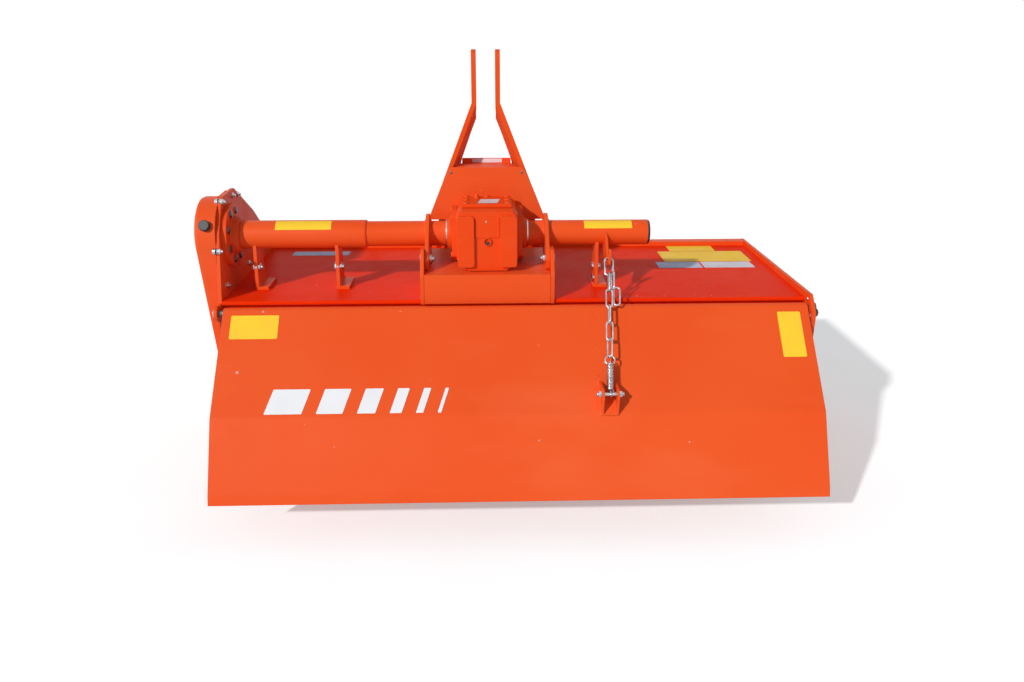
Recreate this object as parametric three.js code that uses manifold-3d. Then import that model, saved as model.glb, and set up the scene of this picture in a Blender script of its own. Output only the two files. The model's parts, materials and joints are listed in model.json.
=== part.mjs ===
// Rotavator: a rotary tiller carried on a tractor's three-point linkage.
//
// Units are millimetres and +Z is up. The machine faces +Y (towards the tractor), +X is to the right
// of someone who looks forward from behind it. While it is laid out, X = 0 is the hitch line, Y = 0 is
// the rear edge of the deck and Z = 0 is the deck's top face; the whole group is then moved so that
// the origin is under the middle of the machine, on the floor.
import * as THREE from 'three';
import { mergeVertices } from 'three/addons/utils/BufferGeometryUtils.js';
import Module from 'manifold-3d';

const wasm = await Module();
wasm.setup();

// ---------------------------------------------------------------------------------------------
// Driving dimensions
// ---------------------------------------------------------------------------------------------
const fitGap = 0.3; // between two pieces that sit on or in each other
const runningGap = 5.5; // between a moving piece and a fixed one

// Chamber: the deck, its side plates and the front beam.
const chamberWidth = 1372; // between the inner faces of the side plates
const hitchOffset = 66; // middle of the chamber, to the right of the hitch line
const deckHeight = 475; // deck top above the floor
const deckDepth = 512;
const deckSheet = 5;
const deckLip = 12;
const rearLipDepth = 8;
const rearFlangeDepth = 34;
const rearFlangeSetback = 12;
const apronDrop = 120;
const plateThickness = 8;
const plateBottom = -440;
const beamDepth = 34;
const beamHeight = 50;
const beamRise = 12; // beam top above the deck top

// Drive line: cross tube, gearbox and the gear cover at the left.
const tubeAxis = { y: 130, z: 130 };
const tubeRadius = 30.15;
const sleeveRadius = 33.5;
const sleeveEnd = 293; // hitch line to the inner end of the sleeve
const rightTubeEnd = 389;
const tubeCapLength = 5;
const tubeFlangeRadius = 75;
const tubeFlangeThickness = 12;
const tubeCollarRadius = 44;
const tubeCollarLength = 18;
const gearboxHalfWidth = 71.5;
const gearboxRear = 32;
const gearboxFront = 178;
const gearboxHeight = 144;
const gearboxFlangeRadius = 66;
const gearboxFlangeHalfDepth = 46;
const gearboxReach = 99; // hitch line to the outer end of a side flange
const coverDepth = 50;
const coverTopRadius = 92;
const coverBottomRadius = 100;
const coverRim = 16;
const coverRimThickness = 4;
const plugRadius = 13;
const plugLength = 11;
const plugAngle = 155; // degrees round the cover's top, from +Y

// Input shaft, a 6-spline stub.
const inputNeckRadius = 38;
const inputNeckEnd = 250;
const inputShaftRadius = 17.4;
const inputShaftRoot = 14.9;
const inputShaftLength = 85;

// Carrying pieces between the tube and the deck.
const panHeight = 62;
const panSheet = 5;
const panDepth = 250;
const lugThickness = 9;
const lugReach = 138; // hitch line to the inner face of a tube lug
const bracketThickness = 8;

// Mast.
const mastGap = 46; // between the arms, for the ball of a category I top link
const armThickness = 11;
const mastTop = 551;
const mastBend = 428;
const mastHole = { y: 216, z: 525, radius: 9.8 };
const armSlope = 0.394; // outwards per unit of drop below the bend
const armToeIn = 0.2; // inwards per unit forward of the arm's rear edge
const armRear = 188;
const armTopWidth = 62;
const armWidth = 72; // below the bend
const shieldTop = 281;
const shieldBottom = 153;
const shieldBottomHalfWidth = 145;
const shieldTopHalfWidth = 96;
const shieldCorner = 9;
const shieldSheet = 4;
const shieldDepth = 72;
const shieldUpstand = 12;

// Lower hitch points, category I.
const hitchShoulder = 341;
const hitchPlate = 12;
const hitchPin = { y: 604, z: 18, radius: 11, length: 62 };

// Rotor.
const rotorAxis = { y: 220, z: -250 };
const tipRadius = 215;
const rotorTubeRadius = 38;
const stubRadius = 20;
const stubClearance = 0.6;
const rotorInset = 30; // side plate to the end of the rotor tube
const flangeCount = 6;
const flangeInset = 105; // side plate to the middle of the first flange
const flangeRadius = 84;
const flangeThickness = 8;
const bladesPerFlange = 6;
const bladeThickness = 7.5;
const bladeFoot = 90;
const bladeFootThickness = 8;
const flangeTwist = 20; // degrees from one flange to the next
const hubRadius = 62;
const hubCapRadius = 40;
const hubCapLength = 25;
const hubFlangeThickness = 12;

// Levelling board.
const hinge = { y: -24, z: -20 };
const hingeRodRadius = 8;
const hingeRodOverhang = 9;
const rollRadius = 13;
const rollClearance = 0.5;
const boardSheet = 4;
const boardInset = 13; // left edge of the board from the side plate
const boardKnee = { y: -211, z: -200 };
const boardLipTop = { y: -285, z: -348 };
const boardTail = { y: -291, z: -368 };

// Stay chain that carries the board.
const hookPoint = { x: 286, y: 38, z: 88 };
const hookThickness = 6;
const clevisX = 266;
const clevisAlong = 224; // down the board from the roll
const clevisOff = 28; // bolt above the board's face
const clevisGap = 28;
const clevisPlate = 5;
const clevisBolt = { radius: 4, length: 60 };
const linkWire = 5;
const linkWidth = 20;
const linkLength = 45;
const springRadius = 8;
const springLength = 74;
const springSlot = 12;

// Skids.
const skidSole = 8;
const skidWidth = 60;
const skidWeb = 8;
const skidWebHeight = 80;
const skidRear = 20;
const skidFront = 430;

// ---------------------------------------------------------------------------------------------
// Finishes
// ---------------------------------------------------------------------------------------------
const paint = { color: 0xe8501a, roughness: 0.38, metalness: 0.0 };
const bareSteel = { color: 0xb9bcc0, roughness: 0.35, metalness: 1.0 };
const zinc = { color: 0xc8ccd2, roughness: 0.3, metalness: 1.0 };
const bladeSteel = { color: 0x3a3a3c, roughness: 0.55, metalness: 0.8 };
const blackPlastic = { color: 0x151517, roughness: 0.5, metalness: 0.0 };

// ---------------------------------------------------------------------------------------------
// Geometry helpers
// ---------------------------------------------------------------------------------------------
const degrees = Math.PI / 180;

function toSolid(geometry) {
  const bare = geometry.clone();
  bare.deleteAttribute('normal');
  bare.deleteAttribute('uv');
  const merged = mergeVertices(bare, 1e-4);
  return new wasm.Manifold(new wasm.Mesh({
    numProp: 3,
    vertProperties: new Float32Array(merged.attributes.position.array),
    triVerts: new Uint32Array(merged.index.array),
  }));
}

function toGeometry(solid) {
  const mesh = solid.getMesh();
  const geometry = new THREE.BufferGeometry();
  geometry.setAttribute('position', new THREE.BufferAttribute(new Float32Array(mesh.vertProperties), 3));
  geometry.setIndex(new THREE.BufferAttribute(new Uint32Array(mesh.triVerts), 1));
  return geometry;
}

function join(...geometries) {
  const solids = geometries.map(toSolid);
  return toGeometry(solids.slice(1).reduce((sum, solid) => sum.add(solid), solids[0]));
}

function cut(geometry, ...tools) {
  return toGeometry(tools.map(toSolid).reduce((rest, tool) => rest.subtract(tool), toSolid(geometry)));
}

function common(a, b) {
  return toGeometry(toSolid(a).intersect(toSolid(b)));
}

// A closed outline from corner points [u, v, radius]; a radius rounds that corner.
function outline(corners) {
  const shape = new THREE.Shape();
  corners.forEach(([u, v, radius = 0], i) => {
    const [pu, pv] = corners[(i + corners.length - 1) % corners.length];
    const [nu, nv] = corners[(i + 1) % corners.length];
    const corner = new THREE.Vector2(u, v);
    const back = new THREE.Vector2(pu, pv).sub(corner).normalize();
    const ahead = new THREE.Vector2(nu, nv).sub(corner).normalize();
    const half = Math.acos(THREE.MathUtils.clamp(back.dot(ahead), -1, 1)) / 2;
    const setback = radius > 0 ? radius / Math.tan(half) : 0;
    const start = corner.clone().addScaledVector(back, setback);
    const end = corner.clone().addScaledVector(ahead, setback);
    if (i === 0) {
      shape.moveTo(start.x, start.y);
    } else {
      shape.lineTo(start.x, start.y);
    }
    if (radius > 0) {
      shape.quadraticCurveTo(u, v, end.x, end.y);
    }
  });
  shape.closePath();
  return shape;
}

// The outline of a bent sheet: a path of [u, v] points with half the thickness on each side.
function sheetOutline(path, thickness) {
  const points = path.map(([u, v]) => new THREE.Vector2(u, v));
  const normalOf = (a, b) => {
    const d = b.clone().sub(a).normalize();
    return new THREE.Vector2(-d.y, d.x);
  };
  const sides = points.map((point, i) => {
    const before = i > 0 ? normalOf(points[i - 1], point) : normalOf(point, points[i + 1]);
    const after = i < points.length - 1 ? normalOf(point, points[i + 1]) : before;
    const mitre = before.clone().add(after).normalize();
    return mitre.multiplyScalar(thickness / 2 / mitre.dot(after));
  });
  const left = points.map((point, i) => point.clone().add(sides[i]));
  const right = points.map((point, i) => point.clone().sub(sides[i])).reverse();
  return new THREE.Shape([...left, ...right]);
}

function extrude(shape, depth, curveSegments = 6) {
  return new THREE.ExtrudeGeometry(shape, { depth, bevelEnabled: false, curveSegments });
}

// A plate whose outline lies in the Y-Z plane, from x0 to x1.
function plateYZ(shape, x0, x1, curveSegments) {
  const turn = new THREE.Matrix4().makeBasis(
    new THREE.Vector3(0, 1, 0), new THREE.Vector3(0, 0, 1), new THREE.Vector3(1, 0, 0));
  return extrude(shape, x1 - x0, curveSegments).applyMatrix4(turn).translate(x0, 0, 0);
}

// A plate whose outline lies in the X-Z plane, from y0 to y1.
function plateXZ(shape, y0, y1, curveSegments) {
  const turn = new THREE.Matrix4().makeBasis(
    new THREE.Vector3(1, 0, 0), new THREE.Vector3(0, 0, 1), new THREE.Vector3(0, -1, 0));
  return extrude(shape, y1 - y0, curveSegments).applyMatrix4(turn).translate(0, y1, 0);
}

function block(x0, x1, y0, y1, z0, z1) {
  return new THREE.BoxGeometry(x1 - x0, y1 - y0, z1 - z0)
    .translate((x0 + x1) / 2, (y0 + y1) / 2, (z0 + z1) / 2);
}

function rodX(radius, x0, x1, centre, sides = 32) {
  return new THREE.CylinderGeometry(radius, radius, x1 - x0, sides)
    .rotateZ(-Math.PI / 2).translate((x0 + x1) / 2, centre.y, centre.z);
}

function rodY(radius, y0, y1, x, z, sides = 32) {
  return new THREE.CylinderGeometry(radius, radius, y1 - y0, sides).translate(x, (y0 + y1) / 2, z);
}

// A turned piece from [radius, along] points, its axis along +X or +Y through the given centre.
function turned(profile, sides = 36) {
  const points = profile.map(([radius, along]) => new THREE.Vector2(radius, along));
  return new THREE.LatheGeometry(points, sides);
}

function turnedX(profile, centre, sides) {
  return turned(profile, sides).rotateZ(-Math.PI / 2).translate(0, centre.y, centre.z);
}

function turnedY(profile, x, z, sides) {
  return turned(profile, sides).translate(x, 0, z);
}

// The outline around two circles joined by their outer tangents.
function beltOutline(a, radiusA, b, radiusB) {
  const run = Math.hypot(b.y - a.y, b.z - a.z);
  const along = Math.atan2(b.z - a.z, b.y - a.y);
  const lean = Math.acos((radiusA - radiusB) / run);
  const shape = new THREE.Shape();
  shape.absarc(a.y, a.z, radiusA, along + lean, along - lean + 2 * Math.PI, false);
  shape.absarc(b.y, b.z, radiusB, along - lean, along + lean, false);
  shape.closePath();
  return shape;
}

// ---------------------------------------------------------------------------------------------
// Assembly
// ---------------------------------------------------------------------------------------------
const machine = new THREE.Group();

function add(name, geometry, finish) {
  const mesh = new THREE.Mesh(geometry, new THREE.MeshStandardMaterial({ ...finish }));
  mesh.name = name;
  machine.add(mesh);
  return mesh;
}

const leftInner = hitchOffset - chamberWidth / 2;
const rightInner = hitchOffset + chamberWidth / 2;
const leftOuter = leftInner - plateThickness;
const rightOuter = rightInner + plateThickness;
const floor = -deckHeight;

// Deck: one bent sheet with a rounded rear lip, a flange set back under the lip, a front apron and
// an end angle along each side plate.
function buildDeck() {
  const half = deckSheet / 2;
  const sheet = plateYZ(sheetOutline([
    [half, -rearLipDepth], [half, -4], [4, -half], [deckDepth - half, -half], [deckDepth - half, -apronDrop],
  ], deckSheet), leftInner + fitGap, rightInner - fitGap);
  const endAngle = (x0, x1) => block(x0, x1, 40, deckDepth - 20, -45, -half);
  const flange = block(
    leftInner + fitGap, rightInner - fitGap, rearFlangeSetback, rearFlangeSetback + deckSheet,
    -rearFlangeDepth, -half,
  );
  return join(
    sheet,
    flange,
    endAngle(leftInner + fitGap, leftInner + fitGap + deckSheet),
    endAngle(rightInner - fitGap - deckSheet, rightInner - fitGap),
  );
}
add('deck_shell', buildDeck(), paint);

const beamRear = deckDepth + fitGap;
const beamFront = beamRear + beamDepth;
add('front_beam', block(leftInner + fitGap, rightInner - fitGap, beamRear, beamFront,
  beamRise - beamHeight, beamRise), paint);

// Side plates, with holes for the rotor's stubs and the hinge rod.
const plateFrontTop = [beamFront + 6, beamRise];
const plateFoot = [[560, -180, 30], [400, plateBottom, 20], [40, plateBottom, 30], [-18, -330, 40]];
const leftPlateCorners = [
  [...plateFrontTop, 8], [430, 90, 40], [354, 145, 40], [200, 231, 25], [96, 226, 30], [46, 152, 30],
  [6, -4, 8], [-22, -8, 6], [-28, -160, 40], ...[...plateFoot].reverse(),
];
const rightPlateCorners = [
  [...plateFrontTop, 8], [-24, beamRise + 2, 6], [-58, -23, 12], [-56, -88, 20], ...[...plateFoot].reverse(),
];

function buildSidePlate(corners, x0, x1) {
  const plate = plateYZ(outline(corners), x0, x1, 5);
  const ear = rodX(hingeRodRadius * 2.2, x0, x1, hinge, 28);
  return cut(
    join(plate, ear),
    rodX(stubRadius + stubClearance, x0 - 5, x1 + 5, rotorAxis, 32),
    rodX(hingeRodRadius + fitGap, x0 - 5, x1 + 5, hinge, 24),
  );
}
add('left_side_plate', buildSidePlate(leftPlateCorners, leftOuter, leftInner), paint);
add('right_side_plate', buildSidePlate(rightPlateCorners, rightInner, rightOuter), paint);

// Gear cover: a deep pressed shell with a bolted rim, closed, so it is one solid.
function buildDriveCover() {
  const face = leftOuter - fitGap;
  const bulge = 9;
  const body = new THREE.ExtrudeGeometry(
    beltOutline(tubeAxis, coverTopRadius - bulge, rotorAxis, coverBottomRadius - bulge),
    {
      depth: coverDepth - bulge, bevelEnabled: true, bevelThickness: bulge, bevelSize: bulge,
      bevelSegments: 2, curveSegments: 14,
    },
  );
  const toYZ = new THREE.Matrix4().makeBasis(
    new THREE.Vector3(0, 1, 0), new THREE.Vector3(0, 0, 1), new THREE.Vector3(1, 0, 0));
  body.applyMatrix4(toYZ).translate(face - coverDepth + bulge, 0, 0);
  const behind = block(face, face + 60, -400, 800, -600, 600);
  const rim = plateYZ(
    beltOutline(tubeAxis, coverTopRadius + coverRim, rotorAxis, coverBottomRadius + coverRim),
    face - coverRimThickness, face, 14);
  const withinPlate = plateYZ(outline(leftPlateCorners), face - coverRimThickness, face, 5);
  return cut(join(body, common(rim, withinPlate)), behind);
}
add('drive_cover', buildDriveCover(), paint);

function buildPlug() {
  const seat = coverTopRadius + fitGap;
  return turned([[0, 0], [plugRadius, 0], [plugRadius, plugLength - 2], [plugRadius - 2, plugLength], [0, plugLength]], 24)
    .translate(0, seat, 0)
    .rotateX((plugAngle) * degrees)
    .translate(leftOuter - coverDepth * 0.45, tubeAxis.y, tubeAxis.z);
}
add('drive_cover_plug', buildPlug(), blackPlastic);

// Cross tube.
const flangeFace = leftInner + fitGap;
const collarEnd = flangeFace + tubeFlangeThickness + tubeCollarLength;
add('tube_flange', turnedX([
  [0, flangeFace], [tubeFlangeRadius, flangeFace], [tubeFlangeRadius, flangeFace + tubeFlangeThickness],
  [tubeCollarRadius, flangeFace + tubeFlangeThickness], [tubeCollarRadius - 2, collarEnd], [0, collarEnd],
], tubeAxis, 40), paint);
add('left_tube', turnedX([
  [0, collarEnd + fitGap], [sleeveRadius, collarEnd + fitGap], [sleeveRadius, -sleeveEnd],
  [tubeRadius, -sleeveEnd + 2], [tubeRadius, -gearboxReach - fitGap], [0, -gearboxReach - fitGap],
], tubeAxis, 36), paint);
add('right_tube', turnedX([
  [0, gearboxReach + fitGap], [tubeRadius, gearboxReach + fitGap], [tubeRadius, rightTubeEnd],
  [0, rightTubeEnd],
], tubeAxis, 36), paint);
const capFace = rightTubeEnd + fitGap;
add('right_tube_cap', turnedX([
  [0, capFace], [tubeRadius, capFace], [tubeRadius - 2, capFace + tubeCapLength], [0, capFace + tubeCapLength],
], tubeAxis, 36), blackPlastic);

// Gearbox.
const gearboxBottom = panHeight + fitGap;
const gearboxTop = gearboxBottom + gearboxHeight;

function gearboxOutline(inset) {
  const half = gearboxHalfWidth - inset;
  const low = gearboxBottom + inset;
  const high = gearboxTop - inset;
  return outline([
    [-half, low + 24, 10], [-half + 24, low, 10], [half - 24, low, 10], [half, low + 24, 10],
    [half, high - 12, 8], [half - 12, high, 6], [-half + 12, high, 6], [-half, high - 12, 8],
  ]);
}
add('gearbox_housing', plateXZ(gearboxOutline(0), gearboxRear, gearboxFront, 4), paint);

function buildRearCover() {
  const thickness = 10;
  const face = gearboxRear - fitGap;
  const pad = (x0, x1) => plateXZ(outline([
    [x0, gearboxBottom + 12, 8], [x1, gearboxBottom + 12, 8], [x1, gearboxTop - 12, 8], [x0, gearboxTop - 12, 8],
  ]), face - thickness - 8, face - 1, 3);
  return join(plateXZ(gearboxOutline(2), face - thickness, face, 4), pad(-69, -30), pad(30, 69));
}
add('gearbox_rear_cover', buildRearCover(), paint);
add('gearbox_top_cover', block(-58, 58, gearboxRear + 22, gearboxFront - 24, gearboxTop + fitGap,
  gearboxTop + 9), paint);

function buildGearboxFlange(side) {
  const start = gearboxHalfWidth + fitGap;
  const profile = [
    [0, start], [gearboxFlangeRadius, start], [gearboxFlangeRadius, start + 12], [38, start + 13],
    [36, gearboxReach - 3], [31.5, gearboxReach - 3], [31.5, gearboxReach], [0, gearboxReach],
  ];
  const flange = turnedX(profile, tubeAxis, 36);
  const placed = side < 0 ? flange.rotateZ(Math.PI).translate(0, 2 * tubeAxis.y, 0) : flange;
  const y = [tubeAxis.y - gearboxFlangeHalfDepth, tubeAxis.y + gearboxFlangeHalfDepth];
  const z = [tubeAxis.z - gearboxFlangeRadius, tubeAxis.z + gearboxFlangeRadius];
  return common(placed, block(-gearboxReach, gearboxReach, ...y, ...z));
}
add('gearbox_left_flange', buildGearboxFlange(-1), paint);
add('gearbox_right_flange', buildGearboxFlange(1), paint);

const neckFace = gearboxFront + fitGap;
add('gearbox_input_neck', turnedY([
  [0, neckFace], [52, neckFace], [52, neckFace + 12], [inputNeckRadius, neckFace + 14],
  [inputNeckRadius - 3, inputNeckEnd], [0, inputNeckEnd],
], 0, tubeAxis.z, 36), paint);

function buildInputShaft() {
  const splines = 6;
  const shape = new THREE.Shape();
  for (let i = 0; i < splines; i += 1) {
    const base = i * 360 / splines;
    [[-22, inputShaftRoot], [-13, inputShaftRadius], [0, inputShaftRadius], [13, inputShaftRadius],
      [22, inputShaftRoot]].forEach(([angle, radius]) => {
      const a = (base + angle) * degrees;
      const point = [radius * Math.cos(a), tubeAxis.z + radius * Math.sin(a)];
      if (i === 0 && angle === -22) {
        shape.moveTo(...point);
      } else {
        shape.lineTo(...point);
      }
    });
  }
  shape.closePath();
  const start = inputNeckEnd + fitGap;
  return join(
    plateXZ(shape, start + 8, start + inputShaftLength),
    rodY(inputShaftRadius + 3, start, start + 10, 0, tubeAxis.z, 30),
  );
}
add('input_shaft', buildInputShaft(), bareSteel);

// Saddle pan that the gearbox stands on: its rear wall laps over the deck's lip.
const lugOuter = lugReach + lugThickness;
const panRear = -fitGap - panSheet / 2;
add('saddle_pan', plateYZ(sheetOutline([
  [panRear, -deckLip + 4], [panRear, panHeight - panSheet / 2], [panDepth, panHeight - panSheet / 2],
  [panDepth, fitGap],
], panSheet), -lugOuter, lugOuter), paint);

// Clamp lugs: one on the tube and one on the deck, bolted together on each side of the gearbox.
function buildTubeLug(side) {
  const x = [lugReach, lugOuter].map((value) => side * value).sort((a, b) => a - b);
  const low = panHeight + fitGap;
  const shape = outline([
    [116, 174, 14], [150, 178, 30], [178, 140, 30], [160, low, 14], [32, low, 10], [24, 92, 10],
  ]);
  return cut(plateYZ(shape, x[0], x[1], 6), rodX(tubeRadius + fitGap, x[0] - 5, x[1] + 5, tubeAxis, 36));
}
add('tube_lug_left', buildTubeLug(-1), paint);
add('tube_lug_right', buildTubeLug(1), paint);

function buildDeckLug(side) {
  const x = [lugOuter + fitGap, lugOuter + fitGap + lugThickness].map((value) => side * value)
    .sort((a, b) => a - b);
  const toe = -fitGap - panSheet;
  return plateYZ(outline([
    [-fitGap, fitGap], [-fitGap, -deckLip + 3, 1.5], [toe, -deckLip + 3, 1.5], [toe, 60, 20], [26, 112, 14],
    [80, 112, 24], [150, fitGap],
  ]), x[0], x[1], 5);
}
add('deck_lug_left', buildDeckLug(-1), paint);
add('deck_lug_right', buildDeckLug(1), paint);

// Plate brackets between the tube and the deck.
function buildBracket(x, tubeR) {
  const shape = outline([
    [95, fitGap], [178, fitGap], [178, 8, 3], [160, 20, 6], [158, 90, 8], [156, 112, 6], [104, 112, 6],
    [102, 90, 8], [95, 20, 6],
  ]);
  const plate = plateYZ(shape, x - bracketThickness / 2, x + bracketThickness / 2, 4);
  const foot = block(x - bracketThickness / 2, x + 26, 95, 178, fitGap, 8);
  return cut(join(plate, foot), rodX(tubeR + fitGap, x - 40, x + 60, tubeAxis, 36));
}
add('tube_bracket_end', buildBracket(-558, sleeveRadius), paint);
add('tube_bracket_left', buildBracket(-362, sleeveRadius), paint);
add('tube_bracket_right', buildBracket(266, tubeRadius), paint);

// Mast: two bent arms from the front beam up to the top-link clevis, and the shield between them.
// Below the bend an arm leans outwards as it goes down and toes in as it goes forward.
const armInner = mastGap / 2;
const armLean = Math.hypot(1, armSlope, armToeIn);
const armInnerAt = (y, z) => armInner + (mastBend - z) * armSlope - (y - armRear) * armToeIn;

// A slab of the leaning part, from the arm's inner face out to the given thickness.
function leaningSlab(thickness) {
  const lean = new THREE.Matrix4().set(
    1, -armToeIn, -armSlope, armInnerAt(0, 0),
    0, 1, 0, 0,
    0, 0, 1, 0,
    0, 0, 0, 1,
  );
  return block(0, thickness, armRear - 100, beamFront + 100, -100, mastTop + 100).applyMatrix4(lean);
}

function buildMastArm(side) {
  const high = mastTop + 40;
  const upright = block(armInner, armInner + armThickness, armRear - 50, beamFront + 50, -50, high);
  const outwards = block(armInner, armInner + 600, armRear - 50, beamFront + 50, -50, high);
  const bent = join(
    common(upright, leaningSlab(600)),
    common(leaningSlab(armThickness * armLean), outwards),
  );
  const front = armRear + armTopWidth;
  const lowerFront = armRear + armWidth;
  const foot = beamRise + fitGap;
  const silhouette = outline([
    [armRear, mastTop, 26], [armRear, 236, 40], [460, foot], [beamFront, foot], [beamFront, 62, 14],
    [lowerFront + 10, 285, 30], [lowerFront, 350, 30], [lowerFront, 389, 6], [armRear + 28, 412, 4],
    [front, 440, 8], [front, mastTop, 26],
  ]);
  const arm = cut(
    common(bent, plateYZ(silhouette, -10, 500, 6)),
    rodX(mastHole.radius, -100, 100, mastHole, 28),
  );
  return side < 0 ? toGeometry(toSolid(arm).mirror([1, 0, 0])) : arm;
}
add('mast_arm_left', buildMastArm(-1), paint);
add('mast_arm_right', buildMastArm(1), paint);

// Shield: a wide rear panel that hides the arms' rear edges, and a shelf with an upstand between them.
function buildShield() {
  const rear = gearboxFront + fitGap + shieldSheet / 2;
  const top = shieldTop - shieldSheet / 2;
  const front = rear + shieldDepth;
  const panel = plateXZ(outline([
    [-shieldBottomHalfWidth, shieldBottom, 4], [shieldBottomHalfWidth, shieldBottom, 4],
    [shieldTopHalfWidth, shieldTop - shieldCorner, 4], [shieldTopHalfWidth - shieldCorner, shieldTop, 4],
    [-shieldTopHalfWidth + shieldCorner, shieldTop, 4], [-shieldTopHalfWidth, shieldTop - shieldCorner, 4],
  ]), rear - shieldSheet / 2, rear + shieldSheet / 2, 3);
  const shelf = plateYZ(sheetOutline([
    [rear, top], [front, top], [front, shieldTop + shieldUpstand],
  ], shieldSheet), -200, 200);
  const shelfTop = shieldTop + shieldUpstand + 5;
  const halfWidthAt = (y) => armInnerAt(y, shelfTop) - 1;
  const plan = new THREE.Shape([
    new THREE.Vector2(-halfWidthAt(rear), rear), new THREE.Vector2(halfWidthAt(rear), rear),
    new THREE.Vector2(halfWidthAt(front + 5), front + 5), new THREE.Vector2(-halfWidthAt(front + 5), front + 5),
  ]);
  return cut(
    join(panel, common(shelf, extrude(plan, shelfTop))),
    rodY(52 + fitGap + 2, 150, 240, 0, tubeAxis.z, 40),
  );
}
add('pto_shield', buildShield(), paint);

// Lower hitch brackets and pins.
function buildHitchBracket(side) {
  const x = [hitchShoulder - hitchPlate, hitchShoulder].map((value) => side * value).sort((a, b) => a - b);
  const face = beamFront + fitGap;
  const ear = plateYZ(outline([
    [face, beamRise - beamHeight], [hitchPin.y + 10, -14, 14], [hitchPin.y + 30, hitchPin.z, 24],
    [hitchPin.y + 6, 46, 20], [face, 44, 10],
  ]), x[0], x[1], 6);
  const flat = block(side > 0 ? x[0] - 40 : x[0], side > 0 ? x[1] : x[1] + 40, face, face + 8,
    beamRise - beamHeight, beamRise);
  return cut(join(ear, flat), rodX(hitchPin.radius + fitGap, x[0] - 60, x[1] + 60, hitchPin, 32));
}
add('lower_hitch_left', buildHitchBracket(-1), paint);
add('lower_hitch_right', buildHitchBracket(1), paint);

function buildHitchPin(side) {
  const inner = hitchShoulder - hitchPlate - 12;
  const outer = hitchShoulder + hitchPin.length;
  const profile = [
    [0, inner], [16, inner], [16, inner + 12 - fitGap], [hitchPin.radius, inner + 12 - fitGap],
    [hitchPin.radius, outer - 3], [hitchPin.radius - 3, outer], [0, outer],
  ];
  const pin = turnedX(profile, hitchPin, 28);
  return side < 0 ? pin.rotateZ(Math.PI).translate(0, 2 * hitchPin.y, 0) : pin;
}
add('hitch_pin_left', buildHitchPin(-1), zinc);
add('hitch_pin_right', buildHitchPin(1), zinc);

// Skids: an angle with a turned-up toe, bolted to the outside of each side plate.
function buildSkid(side) {
  const wall = side < 0 ? leftOuter : rightOuter;
  const range = (a, b) => [wall + side * a, wall + side * b].sort((p, q) => p - q);
  const [sole0, sole1] = range(-plateThickness - 12, skidWidth - plateThickness - 12);
  const [web0, web1] = range(fitGap, fitGap + skidWeb);
  const middle = floor + skidSole / 2;
  const sole = plateYZ(sheetOutline([
    [skidRear, middle], [skidFront, middle], [skidFront + 62, middle + 44],
  ], skidSole), sole0, sole1);
  const web = plateYZ(outline([
    [skidRear + 20, floor + 1], [skidFront - 20, floor + 1], [skidFront - 20, floor + 30, 12],
    [skidFront - 70, floor + skidWebHeight, 20], [skidRear + 60, floor + skidWebHeight, 20],
    [skidRear + 20, floor + 30, 12],
  ]), web0, web1, 4);
  return join(sole, web);
}
add('skid_left', buildSkid(-1), paint);
add('skid_right', buildSkid(1), paint);

// Rotor bearing hub on the right side plate.
const hubFace = rightOuter + fitGap;
add('rotor_bearing_hub', turnedX([
  [0, hubFace], [hubRadius, hubFace], [hubRadius, hubFace + hubFlangeThickness],
  [hubCapRadius, hubFace + hubFlangeThickness + 2], [hubCapRadius - 6, hubFace + hubCapLength],
  [0, hubFace + hubCapLength],
], rotorAxis, 36), paint);

// Rotor: tube with stubs, and flanges that each carry their bent blades.
const tubeLeft = leftInner + rotorInset;
const tubeRight = rightInner - rotorInset;
add('rotor_tube', turnedX([
  [0, leftOuter + 1], [stubRadius, leftOuter + 1], [stubRadius, tubeLeft], [rotorTubeRadius, tubeLeft],
  [rotorTubeRadius, tubeRight], [stubRadius, tubeRight], [stubRadius, rightOuter - 1], [0, rightOuter - 1],
], rotorAxis, 32), paint);

function polar(radius, angle) {
  return [radius * Math.cos(angle * degrees), radius * Math.sin(angle * degrees)];
}

// One blade, its root at +Y from the rotor axis: a curved shank and a foot that is turned sideways.
function buildBlade(side) {
  const inner = side * (flangeThickness / 2 - 0.5);
  const outer = inner + side * bladeThickness;
  const shank = outline([
    [56, -22, 8], [56, 22, 8], [120, 26, 20], [182, 14, 20], [211, -12, 6], [203, -58, 5], [178, -56, 10],
    [132, -24, 20],
  ]);
  const [x0, x1] = [inner, outer].sort((a, b) => a - b);
  const innerRim = tipRadius - bladeFootThickness;
  const foot = new THREE.Shape();
  const from = -17;
  const to = -4;
  foot.moveTo(...polar(innerRim, from));
  foot.absarc(0, 0, innerRim, from * degrees, to * degrees, false);
  foot.absarc(0, 0, tipRadius, to * degrees, from * degrees, true);
  foot.closePath();
  const reach = side * (flangeThickness / 2 + bladeFoot);
  const [f0, f1] = [inner, reach].sort((a, b) => a - b);
  return join(plateYZ(shank, x0, x1, 2), plateYZ(foot, f0, f1, 2));
}

function buildRotorFlange(index) {
  const centre = { y: 0, z: 0 };
  const disc = rodX(flangeRadius, -flangeThickness / 2, flangeThickness / 2, centre, 24);
  const blades = [];
  for (let i = 0; i < bladesPerFlange; i += 1) {
    const side = i % 2 === 0 ? 1 : -1;
    const angle = (i * 360 / bladesPerFlange + index * flangeTwist) * degrees;
    blades.push(buildBlade(side).rotateX(angle));
  }
  return cut(join(disc, ...blades), rodX(rotorTubeRadius + fitGap, -20, 20, centre, 32));
}
const firstFlange = leftInner + flangeInset;
const flangePitch = (chamberWidth - 2 * flangeInset) / (flangeCount - 1);
for (let i = 0; i < flangeCount; i += 1) {
  const flange = add(`rotor_flange_${i + 1}`, buildRotorFlange(i), bladeSteel);
  flange.position.set(firstFlange + i * flangePitch, rotorAxis.y, rotorAxis.z);
}

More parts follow.
